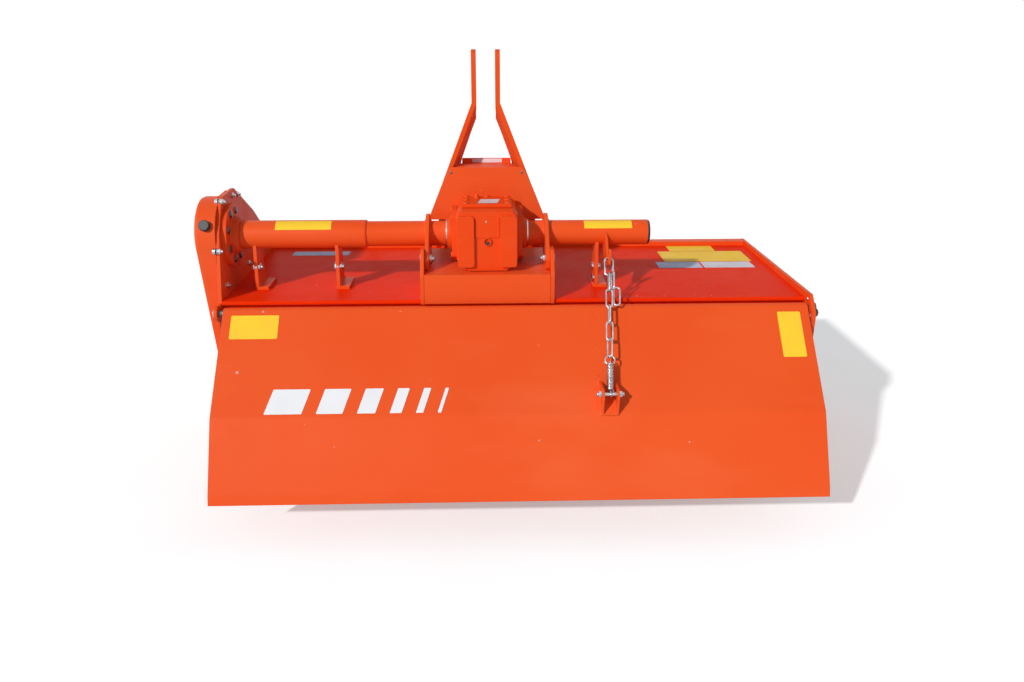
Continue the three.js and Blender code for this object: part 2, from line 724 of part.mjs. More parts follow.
// Levelling board: a sheet rolled round its hinge rod, with a crease and a turned lip.
const rodEnd = rightOuter + hingeRodOverhang;
add('hinge_rod', join(
  rodX(hingeRodRadius, leftOuter - 1, rodEnd, hinge, 24),
  rodX(hingeRodRadius + 6, rightOuter + fitGap, rodEnd - 2, hinge, 24),
), zinc);

const boardDirection = Math.atan2(boardKnee.z - hinge.z, boardKnee.y - hinge.y);
const rollMiddle = rollRadius - boardSheet / 2;
const boardStart = {
  y: hinge.y + rollMiddle * Math.sin(boardDirection),
  z: hinge.z - rollMiddle * Math.cos(boardDirection),
};
const boardLeft = leftInner + boardInset;
const boardRight = rightInner - runningGap;

function buildBoard() {
  const sheet = plateYZ(sheetOutline([
    [boardStart.y, boardStart.z], [boardKnee.y, boardKnee.z], [boardLipTop.y, boardLipTop.z],
    [boardTail.y, boardTail.z],
  ], boardSheet), boardLeft, boardRight);
  return cut(
    join(sheet, rodX(rollRadius, boardLeft, boardRight, hinge, 28)),
    rodX(hingeRodRadius + rollClearance, boardLeft - 5, boardRight + 5, hinge, 24),
  );
}
add('levelling_board', buildBoard(), paint);

// Points on the board's upper slope: along it from the roll, and off its face.
const slopeLength = Math.hypot(boardKnee.y - boardStart.y, boardKnee.z - boardStart.z);
const slope = {
  y: (boardKnee.y - boardStart.y) / slopeLength,
  z: (boardKnee.z - boardStart.z) / slopeLength,
};
const onSlope = (along, off) => {
  const height = off + boardSheet / 2;
  return [
    boardStart.y + slope.y * along + slope.z * height,
    boardStart.z + slope.z * along - slope.y * height,
  ];
};
const [boltY, boltZ] = onSlope(clevisAlong, clevisOff);
const bolt = { y: boltY, z: boltZ };

function buildClevis() {
  const ears = [-1, 1].map((side) => {
    const x = [clevisGap / 2, clevisGap / 2 + clevisPlate].map((value) => clevisX + side * value)
      .sort((a, b) => a - b);
    return plateYZ(outline([
      [...onSlope(clevisAlong - 44, fitGap)], [...onSlope(clevisAlong - 6, clevisOff + 14), 10],
      [...onSlope(clevisAlong + 14, clevisOff + 10), 8], [...onSlope(clevisAlong + 40, fitGap)],
    ]), x[0], x[1], 5);
  });
  const half = clevisGap / 2 + clevisPlate;
  const base = plateYZ(outline([
    onSlope(clevisAlong - 44, fitGap), onSlope(clevisAlong - 44, 3), onSlope(clevisAlong + 40, 3),
    onSlope(clevisAlong + 40, fitGap),
  ]), clevisX - half, clevisX + half);
  return cut(join(...ears, base), rodX(clevisBolt.radius + fitGap, clevisX - 40, clevisX + 40, bolt, 20));
}
add('board_clevis', buildClevis(), paint);

function buildClevisBolt() {
  const half = clevisBolt.length / 2;
  const ear = clevisGap / 2 + clevisPlate + fitGap;
  return join(
    rodX(clevisBolt.radius, clevisX - half, clevisX + half, bolt, 20),
    rodX(7.5, clevisX - ear - 6, clevisX - ear, bolt, 6),
    rodX(7.5, clevisX + ear, clevisX + ear + 6, bolt, 6),
  );
}
add('clevis_bolt', buildClevisBolt(), zinc);

// Hook plate on the right tube.
function buildHook() {
  const { x, y, z } = hookPoint;
  const seat = linkWire * Math.SQRT1_2 + fitGap;
  const plate = plateYZ(outline([
    [150, 96], [y + 36, z - 18, 20], [y + 4, z - 20, 12], [y - 20, z - 12, 12], [y - 23, z + 26, 5],
    [y - 11, z + 26, 5], [y - 8, z - seat - 0.6, 3], [y + 10, z - seat - 0.6, 4], [y + 40, z + 30, 10], [105, 140],
  ]), x - hookThickness / 2, x + hookThickness / 2, 4);
  return cut(plate, rodX(tubeRadius + fitGap, x - 20, x + 20, tubeAxis, 36));
}
add('chain_hook', buildHook(), paint);

// Stay: a top link round the hook, the chain below it, and the spring that holds the clevis bolt.
// Each is laid out along local +Z, from the hook down to the bolt, with local X along the bolt.
const stayFrom = new THREE.Vector3(hookPoint.x, hookPoint.y, hookPoint.z);
const stayTo = new THREE.Vector3(clevisX, bolt.y, bolt.z);
const stayLength = stayFrom.distanceTo(stayTo);
const stayAxis = stayTo.clone().sub(stayFrom).normalize();
const stayPerpendicular = new THREE.Vector3().crossVectors(stayAxis, new THREE.Vector3(1, 0, 0)).normalize();
const staySide = new THREE.Vector3().crossVectors(stayPerpendicular, stayAxis).normalize();
const stayFrame = new THREE.Matrix4().makeBasis(staySide, stayPerpendicular, stayAxis)
  .setPosition(stayFrom);
const chainEnd = stayLength - springLength;

function roundedSlot(width, length, from) {
  const radius = width / 2;
  const shape = new THREE.Shape();
  shape.absarc(0, from + radius, radius, Math.PI, 2 * Math.PI, false);
  shape.absarc(0, from + length - radius, radius, 0, Math.PI, false);
  shape.closePath();
  return shape;
}

function buildStayChain() {
  const half = linkWire / 2;
  const ring = roundedSlot(linkWidth, linkLength, -half);
  ring.holes.push(roundedSlot(linkWidth - 2 * linkWire, linkLength - 2 * linkWire, half));
  const topLink = plateXZ(ring, -half, half, 6);
  const start = linkLength - linkWire - 2;
  const wide = block(-linkWidth / 2, linkWidth / 2, -half, half, start, chainEnd - 1);
  const deep = block(-half, half, -linkWidth / 2, linkWidth / 2, start + 6, chainEnd - 1);
  return join(topLink, wide, deep).applyMatrix4(stayFrame);
}

function buildStaySpring() {
  const sleeve = new THREE.CylinderGeometry(springRadius, springRadius, springLength + 6, 20)
    .rotateX(Math.PI / 2).translate(0, 0, chainEnd - 1 + fitGap + (springLength + 6) / 2);
  const slot = block(-30, 30, -springSlot / 2, springSlot / 2, chainEnd + 9, stayLength + 60);
  return cut(sleeve, slot).applyMatrix4(stayFrame);
}
add('stay_chain', buildStayChain(), zinc);
add('stay_spring', buildStaySpring(), zinc);

// Move the machine so that the origin is on the floor, under the middle of its footprint.
const extent = new THREE.Box3().setFromObject(machine);
machine.position.set(
  -(extent.min.x + extent.max.x) / 2,
  -(extent.min.y + extent.max.y) / 2,
  deckHeight,
);
machine.updateMatrixWorld(true);

export default machine;
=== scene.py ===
"""Looks of the rotavator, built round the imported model.

Every length is in metres. Places are given in millimetres from the hitch line (x), the rear edge of
the deck (y) and the deck's top face (z), and turned into metres by Layout.at.
"""
from __future__ import annotations

import json
import logging
import math
from collections.abc import Callable
from dataclasses import dataclass, field
from enum import Enum

import bpy
from mathutils import Matrix, Vector


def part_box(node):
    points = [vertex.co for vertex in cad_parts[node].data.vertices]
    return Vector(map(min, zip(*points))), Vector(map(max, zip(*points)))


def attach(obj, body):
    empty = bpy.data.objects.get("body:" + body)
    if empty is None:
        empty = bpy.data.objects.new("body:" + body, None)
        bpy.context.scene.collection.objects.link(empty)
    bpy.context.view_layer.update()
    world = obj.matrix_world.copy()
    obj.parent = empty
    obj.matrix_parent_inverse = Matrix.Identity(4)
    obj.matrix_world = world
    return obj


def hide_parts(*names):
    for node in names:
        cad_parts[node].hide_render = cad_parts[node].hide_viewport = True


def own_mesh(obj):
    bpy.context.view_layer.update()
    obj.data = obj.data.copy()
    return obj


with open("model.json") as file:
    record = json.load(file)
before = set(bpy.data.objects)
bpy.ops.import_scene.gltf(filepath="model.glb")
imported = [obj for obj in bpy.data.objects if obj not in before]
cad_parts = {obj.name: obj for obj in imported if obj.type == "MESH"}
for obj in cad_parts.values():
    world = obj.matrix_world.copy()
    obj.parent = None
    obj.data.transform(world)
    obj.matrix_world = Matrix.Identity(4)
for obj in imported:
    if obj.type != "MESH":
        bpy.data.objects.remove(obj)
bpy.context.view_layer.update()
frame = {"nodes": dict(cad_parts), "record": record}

LOG = logging.getLogger("rotavator")
MM = 0.001
Point = tuple[float, float, float]
Colour = tuple[float, float, float]
Spot = tuple[float, float]
FIT = 0.3
FLANGE = 12.0
UP_FACING = 0.9


class Body(Enum):
    """Moving bodies of the machine."""

    FRAME = "frame"
    ROTOR = "rotor"
    SHAFT = "input_shaft"
    BOARD = "levelling_board"
    STAY = "stay_chain"


class Slot(Enum):
    """Material slots of the record."""

    PAINT = "orange_paint"
    BLADE = "blade_steel"
    ZINC = "zinc_steel"
    STEEL = "bare_steel"
    PLASTIC = "black_plastic"


# Finishes
class Graph:
    """A material's node graph, with short calls to add and join nodes."""

    def __init__(self, name: str) -> None:
        """Starts a material with an empty graph.

        Args:
            name: name of the material.
        """
        self.material = bpy.data.materials.new(name)
        self.material.use_nodes = True
        self.tree = self.material.node_tree
        self.tree.nodes.clear()
        self.output = self.tree.nodes.new("ShaderNodeOutputMaterial")

    def add(self, kind: str, settings: dict | None = None, **inputs: object) -> bpy.types.Node:
        """Adds a node.

        Args:
            kind: class of the node, without its ShaderNode prefix.
            settings: properties of the node itself.
            **inputs: socket values or links, with _ for a space in the socket's name.

        Returns:
            The new node.
        """
        node = self.tree.nodes.new("ShaderNode" + kind)
        for key, value in (settings or {}).items():
            setattr(node, key, value)
        for key, value in inputs.items():
            socket = node.inputs[int(key[1:])] if key[0] == "i" and key[1:].isdigit() \
                else node.inputs[key.replace("_", " ")]
            if isinstance(value, bpy.types.NodeSocket):
                self.tree.links.new(value, socket)
            else:
                socket.default_value = value
        return node

    def place(self, scale: Point = (1.0, 1.0, 1.0)) -> bpy.types.NodeSocket:
        """Object coordinates, stretched by a factor along each axis."""
        where = self.add("TexCoord").outputs["Object"]
        return self.add("Mapping", Vector=where, Scale=scale).outputs["Vector"]

    def noise(self, scale: float, detail: float = 3.0, stretch: Point = (1.0, 1.0, 1.0),
              rough: float = 0.5) -> bpy.types.NodeSocket:
        """Noise over the object's own coordinates, with its scale in cells per metre."""
        node = self.add("TexNoise", Vector=self.place(stretch), Scale=scale, Detail=detail, Roughness=rough)
        return node.outputs["Fac"]

    def ramp(self, value: bpy.types.NodeSocket, low: float, high: float, start: float = 0.0,
             end: float = 1.0) -> bpy.types.NodeSocket:
        """Maps low to start and high to end, clamped."""
        return self.add("MapRange", i0=value, i1=low, i2=high, i3=start, i4=end).outputs["Result"]

    def mix(self, factor: bpy.types.NodeSocket | float, a: object, b: object) -> bpy.types.NodeSocket:
        """Mixes two colours, each a socket or three numbers, with the factor as the share of b."""
        whole = [c if isinstance(c, bpy.types.NodeSocket) else (*c, 1.0) for c in (a, b)]
        return self.add("Mix", {"data_type": "RGBA"}, i0=factor, i6=whole[0], i7=whole[1]).outputs[2]

    def maths(self, operation: str, a: object, b: object = 0.0) -> bpy.types.NodeSocket:
        """One arithmetic step on two values."""
        return self.add("Math", {"operation": operation}, i0=a, i1=b).outputs[0]

    def edges(self, radius: float) -> tuple[bpy.types.NodeSocket, bpy.types.NodeSocket]:
        """Rounded normal and a mask that is 1 on sharp edges.

        Args:
            radius: how far an edge reaches.

        Returns:
            The normal socket and the mask socket.
        """
        rounded = self.add("Bevel", {"samples": 4}, Radius=radius).outputs["Normal"]
        flat = self.add("NewGeometry").outputs["Normal"]
        same = self.add("VectorMath", {"operation": "DOT_PRODUCT"}, i0=rounded, i1=flat).outputs["Value"]
        return rounded, self.ramp(same, 0.97, 0.82)

    def bump(self, height: bpy.types.NodeSocket, strength: float, distance: float,
             normal: bpy.types.NodeSocket | None = None) -> bpy.types.NodeSocket:
        """Bump from a height.

        Args:
            height: height socket.
            strength: share of the bump.
            distance: height of the bump.
            normal: normal to start from.

        Returns:
            The normal socket.
        """
        node = self.add("Bump", Height=height, Strength=strength, Distance=distance)
        if normal is not None:
            self.tree.links.new(normal, node.inputs["Normal"])
        return node.outputs["Normal"]

    def finish(self, colour: object, roughness: object, normal: bpy.types.NodeSocket,
               metallic: float = 0.0, coat: float = 0.0, coat_roughness: float = 0.1,
               specular: float = 0.5) -> bpy.types.Material:
        """Closes the graph with its shader.

        Args:
            colour: base colour socket.
            roughness: roughness socket or number.
            normal: normal socket.
            metallic: 1 for bare metal.
            coat: strength of the clear coat.
            coat_roughness: roughness of the clear coat.
            specular: reflection level.

        Returns:
            The finished material.
        """
        shader = self.add("BsdfPrincipled", Base_Color=colour, Roughness=roughness, Normal=normal,
                          Metallic=metallic, Coat_Weight=coat, Coat_Roughness=coat_roughness,
                          Specular_IOR_Level=specular)
        self.tree.links.new(shader.outputs[0], self.output.inputs["Surface"])
        return self.material


class Finish:
    """A finish that is made into a material once."""

    made: dict[str, bpy.types.Material] = {}
    name: str

    def build(self) -> bpy.types.Material:
        """Makes the material."""
        raise NotImplementedError

    @property
    def material(self) -> bpy.types.Material:
        """The material, made at first use.

        Returns:
            The material, the same one for every finish of this name.
        """
        if self.name not in Finish.made:
            Finish.made[self.name] = self.build()
        return Finish.made[self.name]


@dataclass(frozen=True)
class Paint(Finish):
    """Sprayed enamel over steel: soft colour drift, orange peel, pale worn edges, chips and dust."""

    name: str
    colour: Colour
    deep: Colour
    edge: Colour = (0.86, 0.20, 0.085)
    chip: Colour = (0.66, 0.52, 0.48)
    roughness: float = 0.42
    peel: float = 0.16
    chips: float = 0.735
    coat: float = 0.04
    casting: float = 0.0
    specular: float = 0.12

    def build(self) -> bpy.types.Material:
        """Makes the enamel.

        Returns:
            The material.
        """
        g = Graph(self.name)
        drift = g.noise(3.2, 4.0)
        colour = g.mix(g.ramp(drift, 0.35, 0.7), self.deep, self.colour)
        streak = g.noise(5.5, 4.0, (0.35, 1.0, 1.0))
        colour = g.mix(g.ramp(streak, 0.55, 0.8, 0.0, 0.22), colour, self.edge)
        rounded, mask = g.edges(0.0016)
        patchy = g.ramp(g.noise(70.0, 4.0), 0.38, 0.62)
        colour = g.mix(g.maths("MULTIPLY", g.maths("MULTIPLY", mask, patchy), 0.65), colour, self.edge)
        fleck = g.ramp(g.noise(46.0, 3.0, rough=0.6), self.chips, self.chips + 0.02)
        colour = g.mix(g.maths("MULTIPLY", fleck, 0.7), colour, self.chip)
        dust = g.ramp(g.noise(17.0, 6.0, rough=0.7), 0.5, 0.78)
        roughness = g.ramp(dust, 0.0, 1.0, self.roughness, self.roughness + 0.16)
        height = g.noise(260.0, 2.0)
        normal = g.bump(height, self.peel, 0.0006, rounded)
        if self.casting > 0.0:
            normal = g.bump(g.noise(620.0, 5.0, rough=0.7), self.casting, 0.0008, normal)
        normal = g.bump(g.noise(7.0, 2.0), 0.10, 0.004, normal)
        return g.finish(colour, roughness, normal, coat=self.coat, coat_roughness=0.16,
                        specular=self.specular)


@dataclass(frozen=True)
class Plated(Finish):
    """Zinc plate or machined steel: drifting tint, fine draw lines and duller patches."""

    name: str
    colour: Colour
    tint: Colour
    grime: Colour = (0.20, 0.16, 0.12)
    roughness: float = 0.28
    lines: Point = (1.0, 1.0, 1.0)
    dirt: float = 0.35

    def build(self) -> bpy.types.Material:
        """Makes the plated metal.

        Returns:
            The material.
        """
        g = Graph(self.name)
        colour = g.mix(g.ramp(g.noise(60.0, 3.0), 0.35, 0.7), self.colour, self.tint)
        grime = g.ramp(g.noise(95.0, 6.0, rough=0.7), 0.52, 0.75, 0.0, self.dirt)
        colour = g.mix(grime, colour, self.grime)
        rounded, _ = g.edges(0.0006)
        roughness = g.ramp(g.noise(140.0, 5.0), 0.3, 0.75, self.roughness - 0.08, self.roughness + 0.2)
        normal = g.bump(g.noise(900.0, 2.0, self.lines), 0.16, 0.0002, rounded)
        return g.finish(colour, roughness, normal, metallic=1.0)


@dataclass(frozen=True)
class Forged(Finish):
    """Dark heat-treated steel: scale, patches of brown rust and bright rubbed edges."""

    name: str
    colour: Colour = (0.045, 0.042, 0.041)
    rust: Colour = (0.22, 0.085, 0.035)
    bright: Colour = (0.42, 0.41, 0.40)

    def build(self) -> bpy.types.Material:
        """Makes the forged steel.

        Returns:
            The material.
        """
        g = Graph(self.name)
        colour = g.mix(g.ramp(g.noise(22.0, 6.0, rough=0.65), 0.5, 0.72, 0.0, 0.75), self.colour, self.rust)
        rounded, mask = g.edges(0.0022)
        rub = g.maths("MULTIPLY", mask, g.ramp(g.noise(60.0, 4.0), 0.3, 0.6))
        colour = g.mix(g.maths("MULTIPLY", rub, 0.8), colour, self.bright)
        roughness = g.ramp(g.noise(90.0, 5.0), 0.3, 0.7, 0.42, 0.72)
        normal = g.bump(g.noise(300.0, 5.0, rough=0.7), 0.35, 0.0008, rounded)
        return g.finish(colour, roughness, normal, metallic=0.45)


@dataclass(frozen=True)
class Moulded(Finish):
    """Black plastic or rubber: fine grain, grey scuffs on the edges and dust."""

    name: str
    colour: Colour = (0.012, 0.012, 0.014)
    scuff: Colour = (0.16, 0.16, 0.17)
    roughness: float = 0.42

    def build(self) -> bpy.types.Material:
        """Makes the plastic.

        Returns:
            The material.
        """
        g = Graph(self.name)
        rounded, mask = g.edges(0.0008)
        dust = g.ramp(g.noise(80.0, 5.0, rough=0.7), 0.5, 0.8, 0.0, 0.30)
        colour = g.mix(dust, self.colour, self.scuff)
        colour = g.mix(g.maths("MULTIPLY", mask, 0.4), colour, self.scuff)
        normal = g.bump(g.noise(1500.0, 2.0), 0.3, 0.0002, rounded)
        return g.finish(colour, g.ramp(dust, 0.0, 0.3, self.roughness, self.roughness + 0.2), normal)


@dataclass(frozen=True)
class Film(Finish):
    """Printed film stuck on paint: even colour with faded patches, dust specks and faint ripples."""

    name: str
    colour: Colour
    faded: Colour
    border: Colour = (0.10, 0.08, 0.04)
    roughness: float = 0.42

    def build(self) -> bpy.types.Material:
        """Makes the film.

        Returns:
            The material.
        """
        g = Graph(self.name)
        colour = g.mix(g.ramp(g.noise(14.0, 4.0), 0.35, 0.7), self.colour, self.faded)
        speck = g.ramp(g.noise(240.0, 3.0, rough=0.7), 0.70, 0.76, 0.0, 0.45)
        colour = g.mix(speck, colour, self.border)
        rounded, mask = g.edges(0.0005)
        colour = g.mix(g.maths("MULTIPLY", mask, 0.25), colour, self.border)
        roughness = g.ramp(g.noise(35.0, 5.0), 0.35, 0.7, self.roughness, self.roughness + 0.2)
        normal = g.bump(g.noise(28.0, 3.0), 0.10, 0.0015, rounded)
        return g.finish(colour, roughness, normal, coat=0.03, coat_roughness=0.2, specular=0.12)


PAINT = Paint("enamel", (0.82, 0.092, 0.014), (0.80, 0.076, 0.009))
# Deeper red copy of the same enamel for the deck: painted shade on its up-facing top.
DECK_PAINT_SHADED = Paint("enamel_deck_painted_shade", (0.90, 0.034, 0.001), (0.87, 0.026, 0.001), edge=(0.90, 0.10, 0.03),
                   specular=0.02, coat=0.0)
# Slightly lighter orange copy of the same enamel for the board, saddle pan and shield: painted light.
BOARD_PAINT_LIT = Paint("enamel_board_painted_light", (0.82, 0.098, 0.018), (0.80, 0.084, 0.013), roughness=0.5)
# Deeper copy of the same enamel for the castings, over their cast grain: painted shade.
CAST_PAINT_SHADED = Paint("enamel_on_casting_painted_shade", (0.82, 0.072, 0.007), (0.79, 0.056, 0.004), peel=0.22, casting=0.30)
MAST_PAINT = Paint("enamel_mast", (0.82, 0.092, 0.014), (0.80, 0.076, 0.009), roughness=0.74, coat=0.0,
                   specular=0.04)
BEAD_PAINT = Paint("enamel_on_weld", (0.84, 0.10, 0.02), (0.80, 0.07, 0.01), peel=0.3, casting=0.2,
                   roughness=0.30)
ZINC = Plated("zinc_plate", (0.62, 0.65, 0.70), (0.48, 0.49, 0.48))
CHAIN_ZINC = Plated("zinc_chain", (0.60, 0.62, 0.66), (0.40, 0.40, 0.40), roughness=0.24, dirt=0.6)
BARE = Plated("machined_steel", (0.66, 0.66, 0.67), (0.50, 0.48, 0.46), lines=(1.0, 0.05, 1.0), dirt=0.45)
DARK_BOLT = Plated("black_bolt", (0.12, 0.115, 0.115), (0.20, 0.17, 0.16), roughness=0.38)
FORGED = Forged("forged_steel")
PLASTIC = Moulded("black_plastic")
KNOB = Moulded("grey_rubber", (0.03, 0.04, 0.045), (0.22, 0.25, 0.27))
YELLOW = Film("film_yellow", (0.96, 0.62, 0.035), (0.92, 0.56, 0.040))
WHITE = Film("film_white", (0.76, 0.74, 0.78), (0.64, 0.60, 0.66), border=(0.3, 0.3, 0.34))
BLUE = Film("film_blue", (0.36, 0.44, 0.68), (0.56, 0.60, 0.76), border=(0.2, 0.2, 0.3))
STRIPE = Film("film_stripe", (0.84, 0.84, 0.86), (0.80, 0.80, 0.83), border=(0.5, 0.4, 0.4))

NODES_OF_FINISH: tuple[tuple[Finish, tuple[str, ...]], ...] = (
    (DECK_PAINT_SHADED, ("deck_shell",)),
    (BOARD_PAINT_LIT, ("levelling_board", "saddle_pan", "pto_shield")),
    (CAST_PAINT_SHADED, ("gearbox_housing", "gearbox_rear_cover", "gearbox_top_cover", "gearbox_left_flange",
                  "gearbox_right_flange", "gearbox_input_neck", "rotor_bearing_hub", "tube_flange")),
    (MAST_PAINT, ("mast_arm_left", "mast_arm_right")),
    # The hinge rod takes the dark bolt finish though its slot is zinc: painted shade where it sits between
    # the side plate and the board.
    (DARK_BOLT, ("hinge_rod",)),
)
FINISH_OF_NODE: dict[str, Finish] = {node: finish for finish, nodes in NODES_OF_FINISH for node in nodes}
FINISH_OF_SLOT: dict[str, Finish] = {
    Slot.PAINT.value: PAINT, Slot.BLADE.value: FORGED, Slot.ZINC.value: ZINC,
    Slot.STEEL.value: BARE, Slot.PLASTIC.value: PLASTIC,
}


# Places
@dataclass
class Layout:
    """Where the machine's axes and faces are, read from the frame's boxes."""

    origin: Vector = field(init=False)

    def __post_init__(self) -> None:
        """Finds the hitch line, the deck's rear edge and the deck's top face."""
        low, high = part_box("gearbox_housing")
        deck_low, deck_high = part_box("deck_shell")
        self.origin = Vector(((low.x + high.x) / 2, deck_low.y, deck_high.z))

    def at(self, x: float, y: float, z: float) -> Vector:
        """A place in metres from millimetres off the hitch line, the deck's rear edge and its top."""
        return self.origin + Vector((x, y, z)) * MM

    def middle(self, node: str) -> Vector:
        """The middle of a node's box."""
        low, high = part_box(node)
        return (low + high) / 2

    def local(self, point: Vector) -> Vector:
        """Millimetres of a place, the inverse of at."""
        return (point - self.origin) / MM


LAYOUT = Layout()
at = LAYOUT.at


# The bench: modelling steps that every sub-assembly uses
class Bench:
    """Modelling steps, with operators, on one active object."""

    @staticmethod
    def clear() -> None:
        """Leaves edit mode and deselects everything."""
        if bpy.context.mode != "OBJECT":
            bpy.ops.object.mode_set(mode="OBJECT")
        bpy.ops.object.select_all(action="DESELECT")

    @staticmethod
    def only(obj: bpy.types.Object) -> None:
        """Selects one object and makes it active.

        Args:
            obj: the object.
        """
        Bench.clear()
        obj.select_set(True)
        bpy.context.view_layer.objects.active = obj

    @staticmethod
    def edit(obj: bpy.types.Object, what: str = "VERT") -> None:
        """Enters edit mode with nothing selected.

        Args:
            obj: object to edit.
            what: VERT, EDGE or FACE.
        """
        Bench.only(obj)
        bpy.ops.object.mode_set(mode="EDIT")
        bpy.ops.mesh.select_mode(type=what)
        bpy.ops.mesh.select_all(action="DESELECT")

    @staticmethod
    def pick(obj: bpy.types.Object, what: str, test: Callable[..., bool]) -> None:
        """Selects the vertices, edges or faces that pass a test.

        Args:
            obj: object in edit mode.
            what: VERT, EDGE or FACE.
            test: called with a vertex's place, an edge's two ends, or a face's middle and normal.
        """
        bpy.ops.mesh.select_mode(type=what)
        bpy.ops.mesh.select_all(action="DESELECT")
        bpy.ops.object.mode_set(mode="OBJECT")
        mesh = obj.data
        if what == "VERT":
            for vertex in mesh.vertices:
                vertex.select = bool(test(vertex.co))
        elif what == "EDGE":
            for edge in mesh.edges:
                edge.select = bool(test(*(mesh.vertices[i].co for i in edge.vertices)))
        else:
            for face in mesh.polygons:
                face.select = bool(test(face.center, face.normal))
        bpy.ops.object.mode_set(mode="EDIT")

    @staticmethod
    def crown(obj: bpy.types.Object, steps: list[Spot]) -> None:
        """Insets the top face and lifts it, step after step.

        Args:
            obj: object to shape.
            steps: inset and lift of each step, in millimetres.
        """
        Bench.edit(obj)
        Bench.pick(obj, "FACE", lambda middle, normal: normal.z > UP_FACING)
        for inset, lift in steps:
            bpy.ops.mesh.inset(thickness=inset * MM)
            bpy.ops.transform.translate(value=(0, 0, lift * MM))
        bpy.ops.object.mode_set(mode="OBJECT")

    @staticmethod
    def torus(radius: float, wire: float, around: int, section: int) -> bpy.types.Object:
        """Adds a torus round Z as a new object.

        Args:
            radius: radius of the ring, in millimetres.
            wire: radius of its section, in millimetres.
            around: segments round the ring.
            section: segments round its section.

        Returns:
            The torus.
        """
        Bench.clear()
        bpy.ops.mesh.primitive_torus_add(major_radius=radius * MM, minor_radius=wire * MM,
                                         major_segments=around, minor_segments=section)
        return bpy.context.active_object

    @staticmethod
    def cylinder(radius: float, depth: float, sides: int, middle: Point = (0, 0, 0)) -> bpy.types.Object:
        """Adds a cylinder along Z, in edit mode to the object at hand, else as a new one.

        Args:
            radius: radius.
            depth: length along Z.
            sides: number of sides.
            middle: its middle.

        Returns:
            The active object.
        """
        if bpy.context.mode == "OBJECT":
            Bench.clear()
        bpy.ops.mesh.primitive_cylinder_add(vertices=sides, radius=radius, depth=depth, location=middle)
        return bpy.context.active_object

    @staticmethod
    def dress(obj: bpy.types.Object, name: str, body: Body, slot: Slot, finish: Finish,
              smooth: float = 32.0) -> bpy.types.Object:
        """Names a finished piece, shades it, gives it its finish and lets it ride.

        Args:
            obj: the piece.
            name: its name.
            body: body that it rides on.
            slot: record slot of its finish; not used.
            finish: its finish.
            smooth: edges flatter than this many degrees are shaded smooth.

        Returns:
            The piece.
        """
        Bench.only(obj)
        bpy.ops.object.transform_apply(location=True, rotation=True, scale=True)
        bpy.ops.object.shade_smooth_by_angle(angle=math.radians(smooth))
        obj.name = name
        obj.data.name = name
        obj.data.materials.clear()
        obj.data.materials.append(finish.material)
        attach(obj, body.value)
        Bench.clear()
        LOG.info("piece %s: %d faces", name, len(obj.data.polygons))
        return obj

    @staticmethod
    def stamp(template: bpy.types.Object, places: list[Matrix]) -> bpy.types.Object:
        """Copies a template to many places and joins the copies.

        Args:
            template: object at the origin, removed at the end.
            places: one matrix for each copy.

        Returns:
            The joined object.
        """
        copies = []
        for place in places:
            mesh = template.data.copy()
            mesh.transform(place)
            copy = bpy.data.objects.new("copy", mesh)
            bpy.context.collection.objects.link(copy)
            copies.append(copy)
        whole = Bench.join(copies)
        bpy.data.objects.remove(template)
        return whole

    @staticmethod
    def join(objects: list[bpy.types.Object]) -> bpy.types.Object:
        """Joins objects into the first.

        Args:
            objects: one object or more.

        Returns:
            The first, which holds them all.
        """
        Bench.clear()
        for obj in objects:
            obj.select_set(True)
        bpy.context.view_layer.objects.active = objects[0]
        if len(objects) > 1:
            bpy.ops.object.join()
        return objects[0]

    @staticmethod
    def facing(point: Vector, direction: Vector, spin: float = 0.0) -> Matrix:
        """A matrix that puts a template at a point, its Z along a direction, spun by some degrees."""
        turn = direction.normalized().to_track_quat("Z", "Y").to_matrix().to_4x4()
        return Matrix.Translation(point) @ turn @ Matrix.Rotation(math.radians(spin), 4, "Z")

    @staticmethod
    def recalc(obj: bpy.types.Object) -> None:
        """Merges doubles and points all faces outwards.

        Args:
            obj: closed shell to mend.
        """
        Bench.edit(obj)
        bpy.ops.mesh.select_all(action="SELECT")
        bpy.ops.mesh.remove_doubles(threshold=0.00001)
        bpy.ops.mesh.normals_make_consistent(inside=False)
        bpy.ops.object.mode_set(mode="OBJECT")


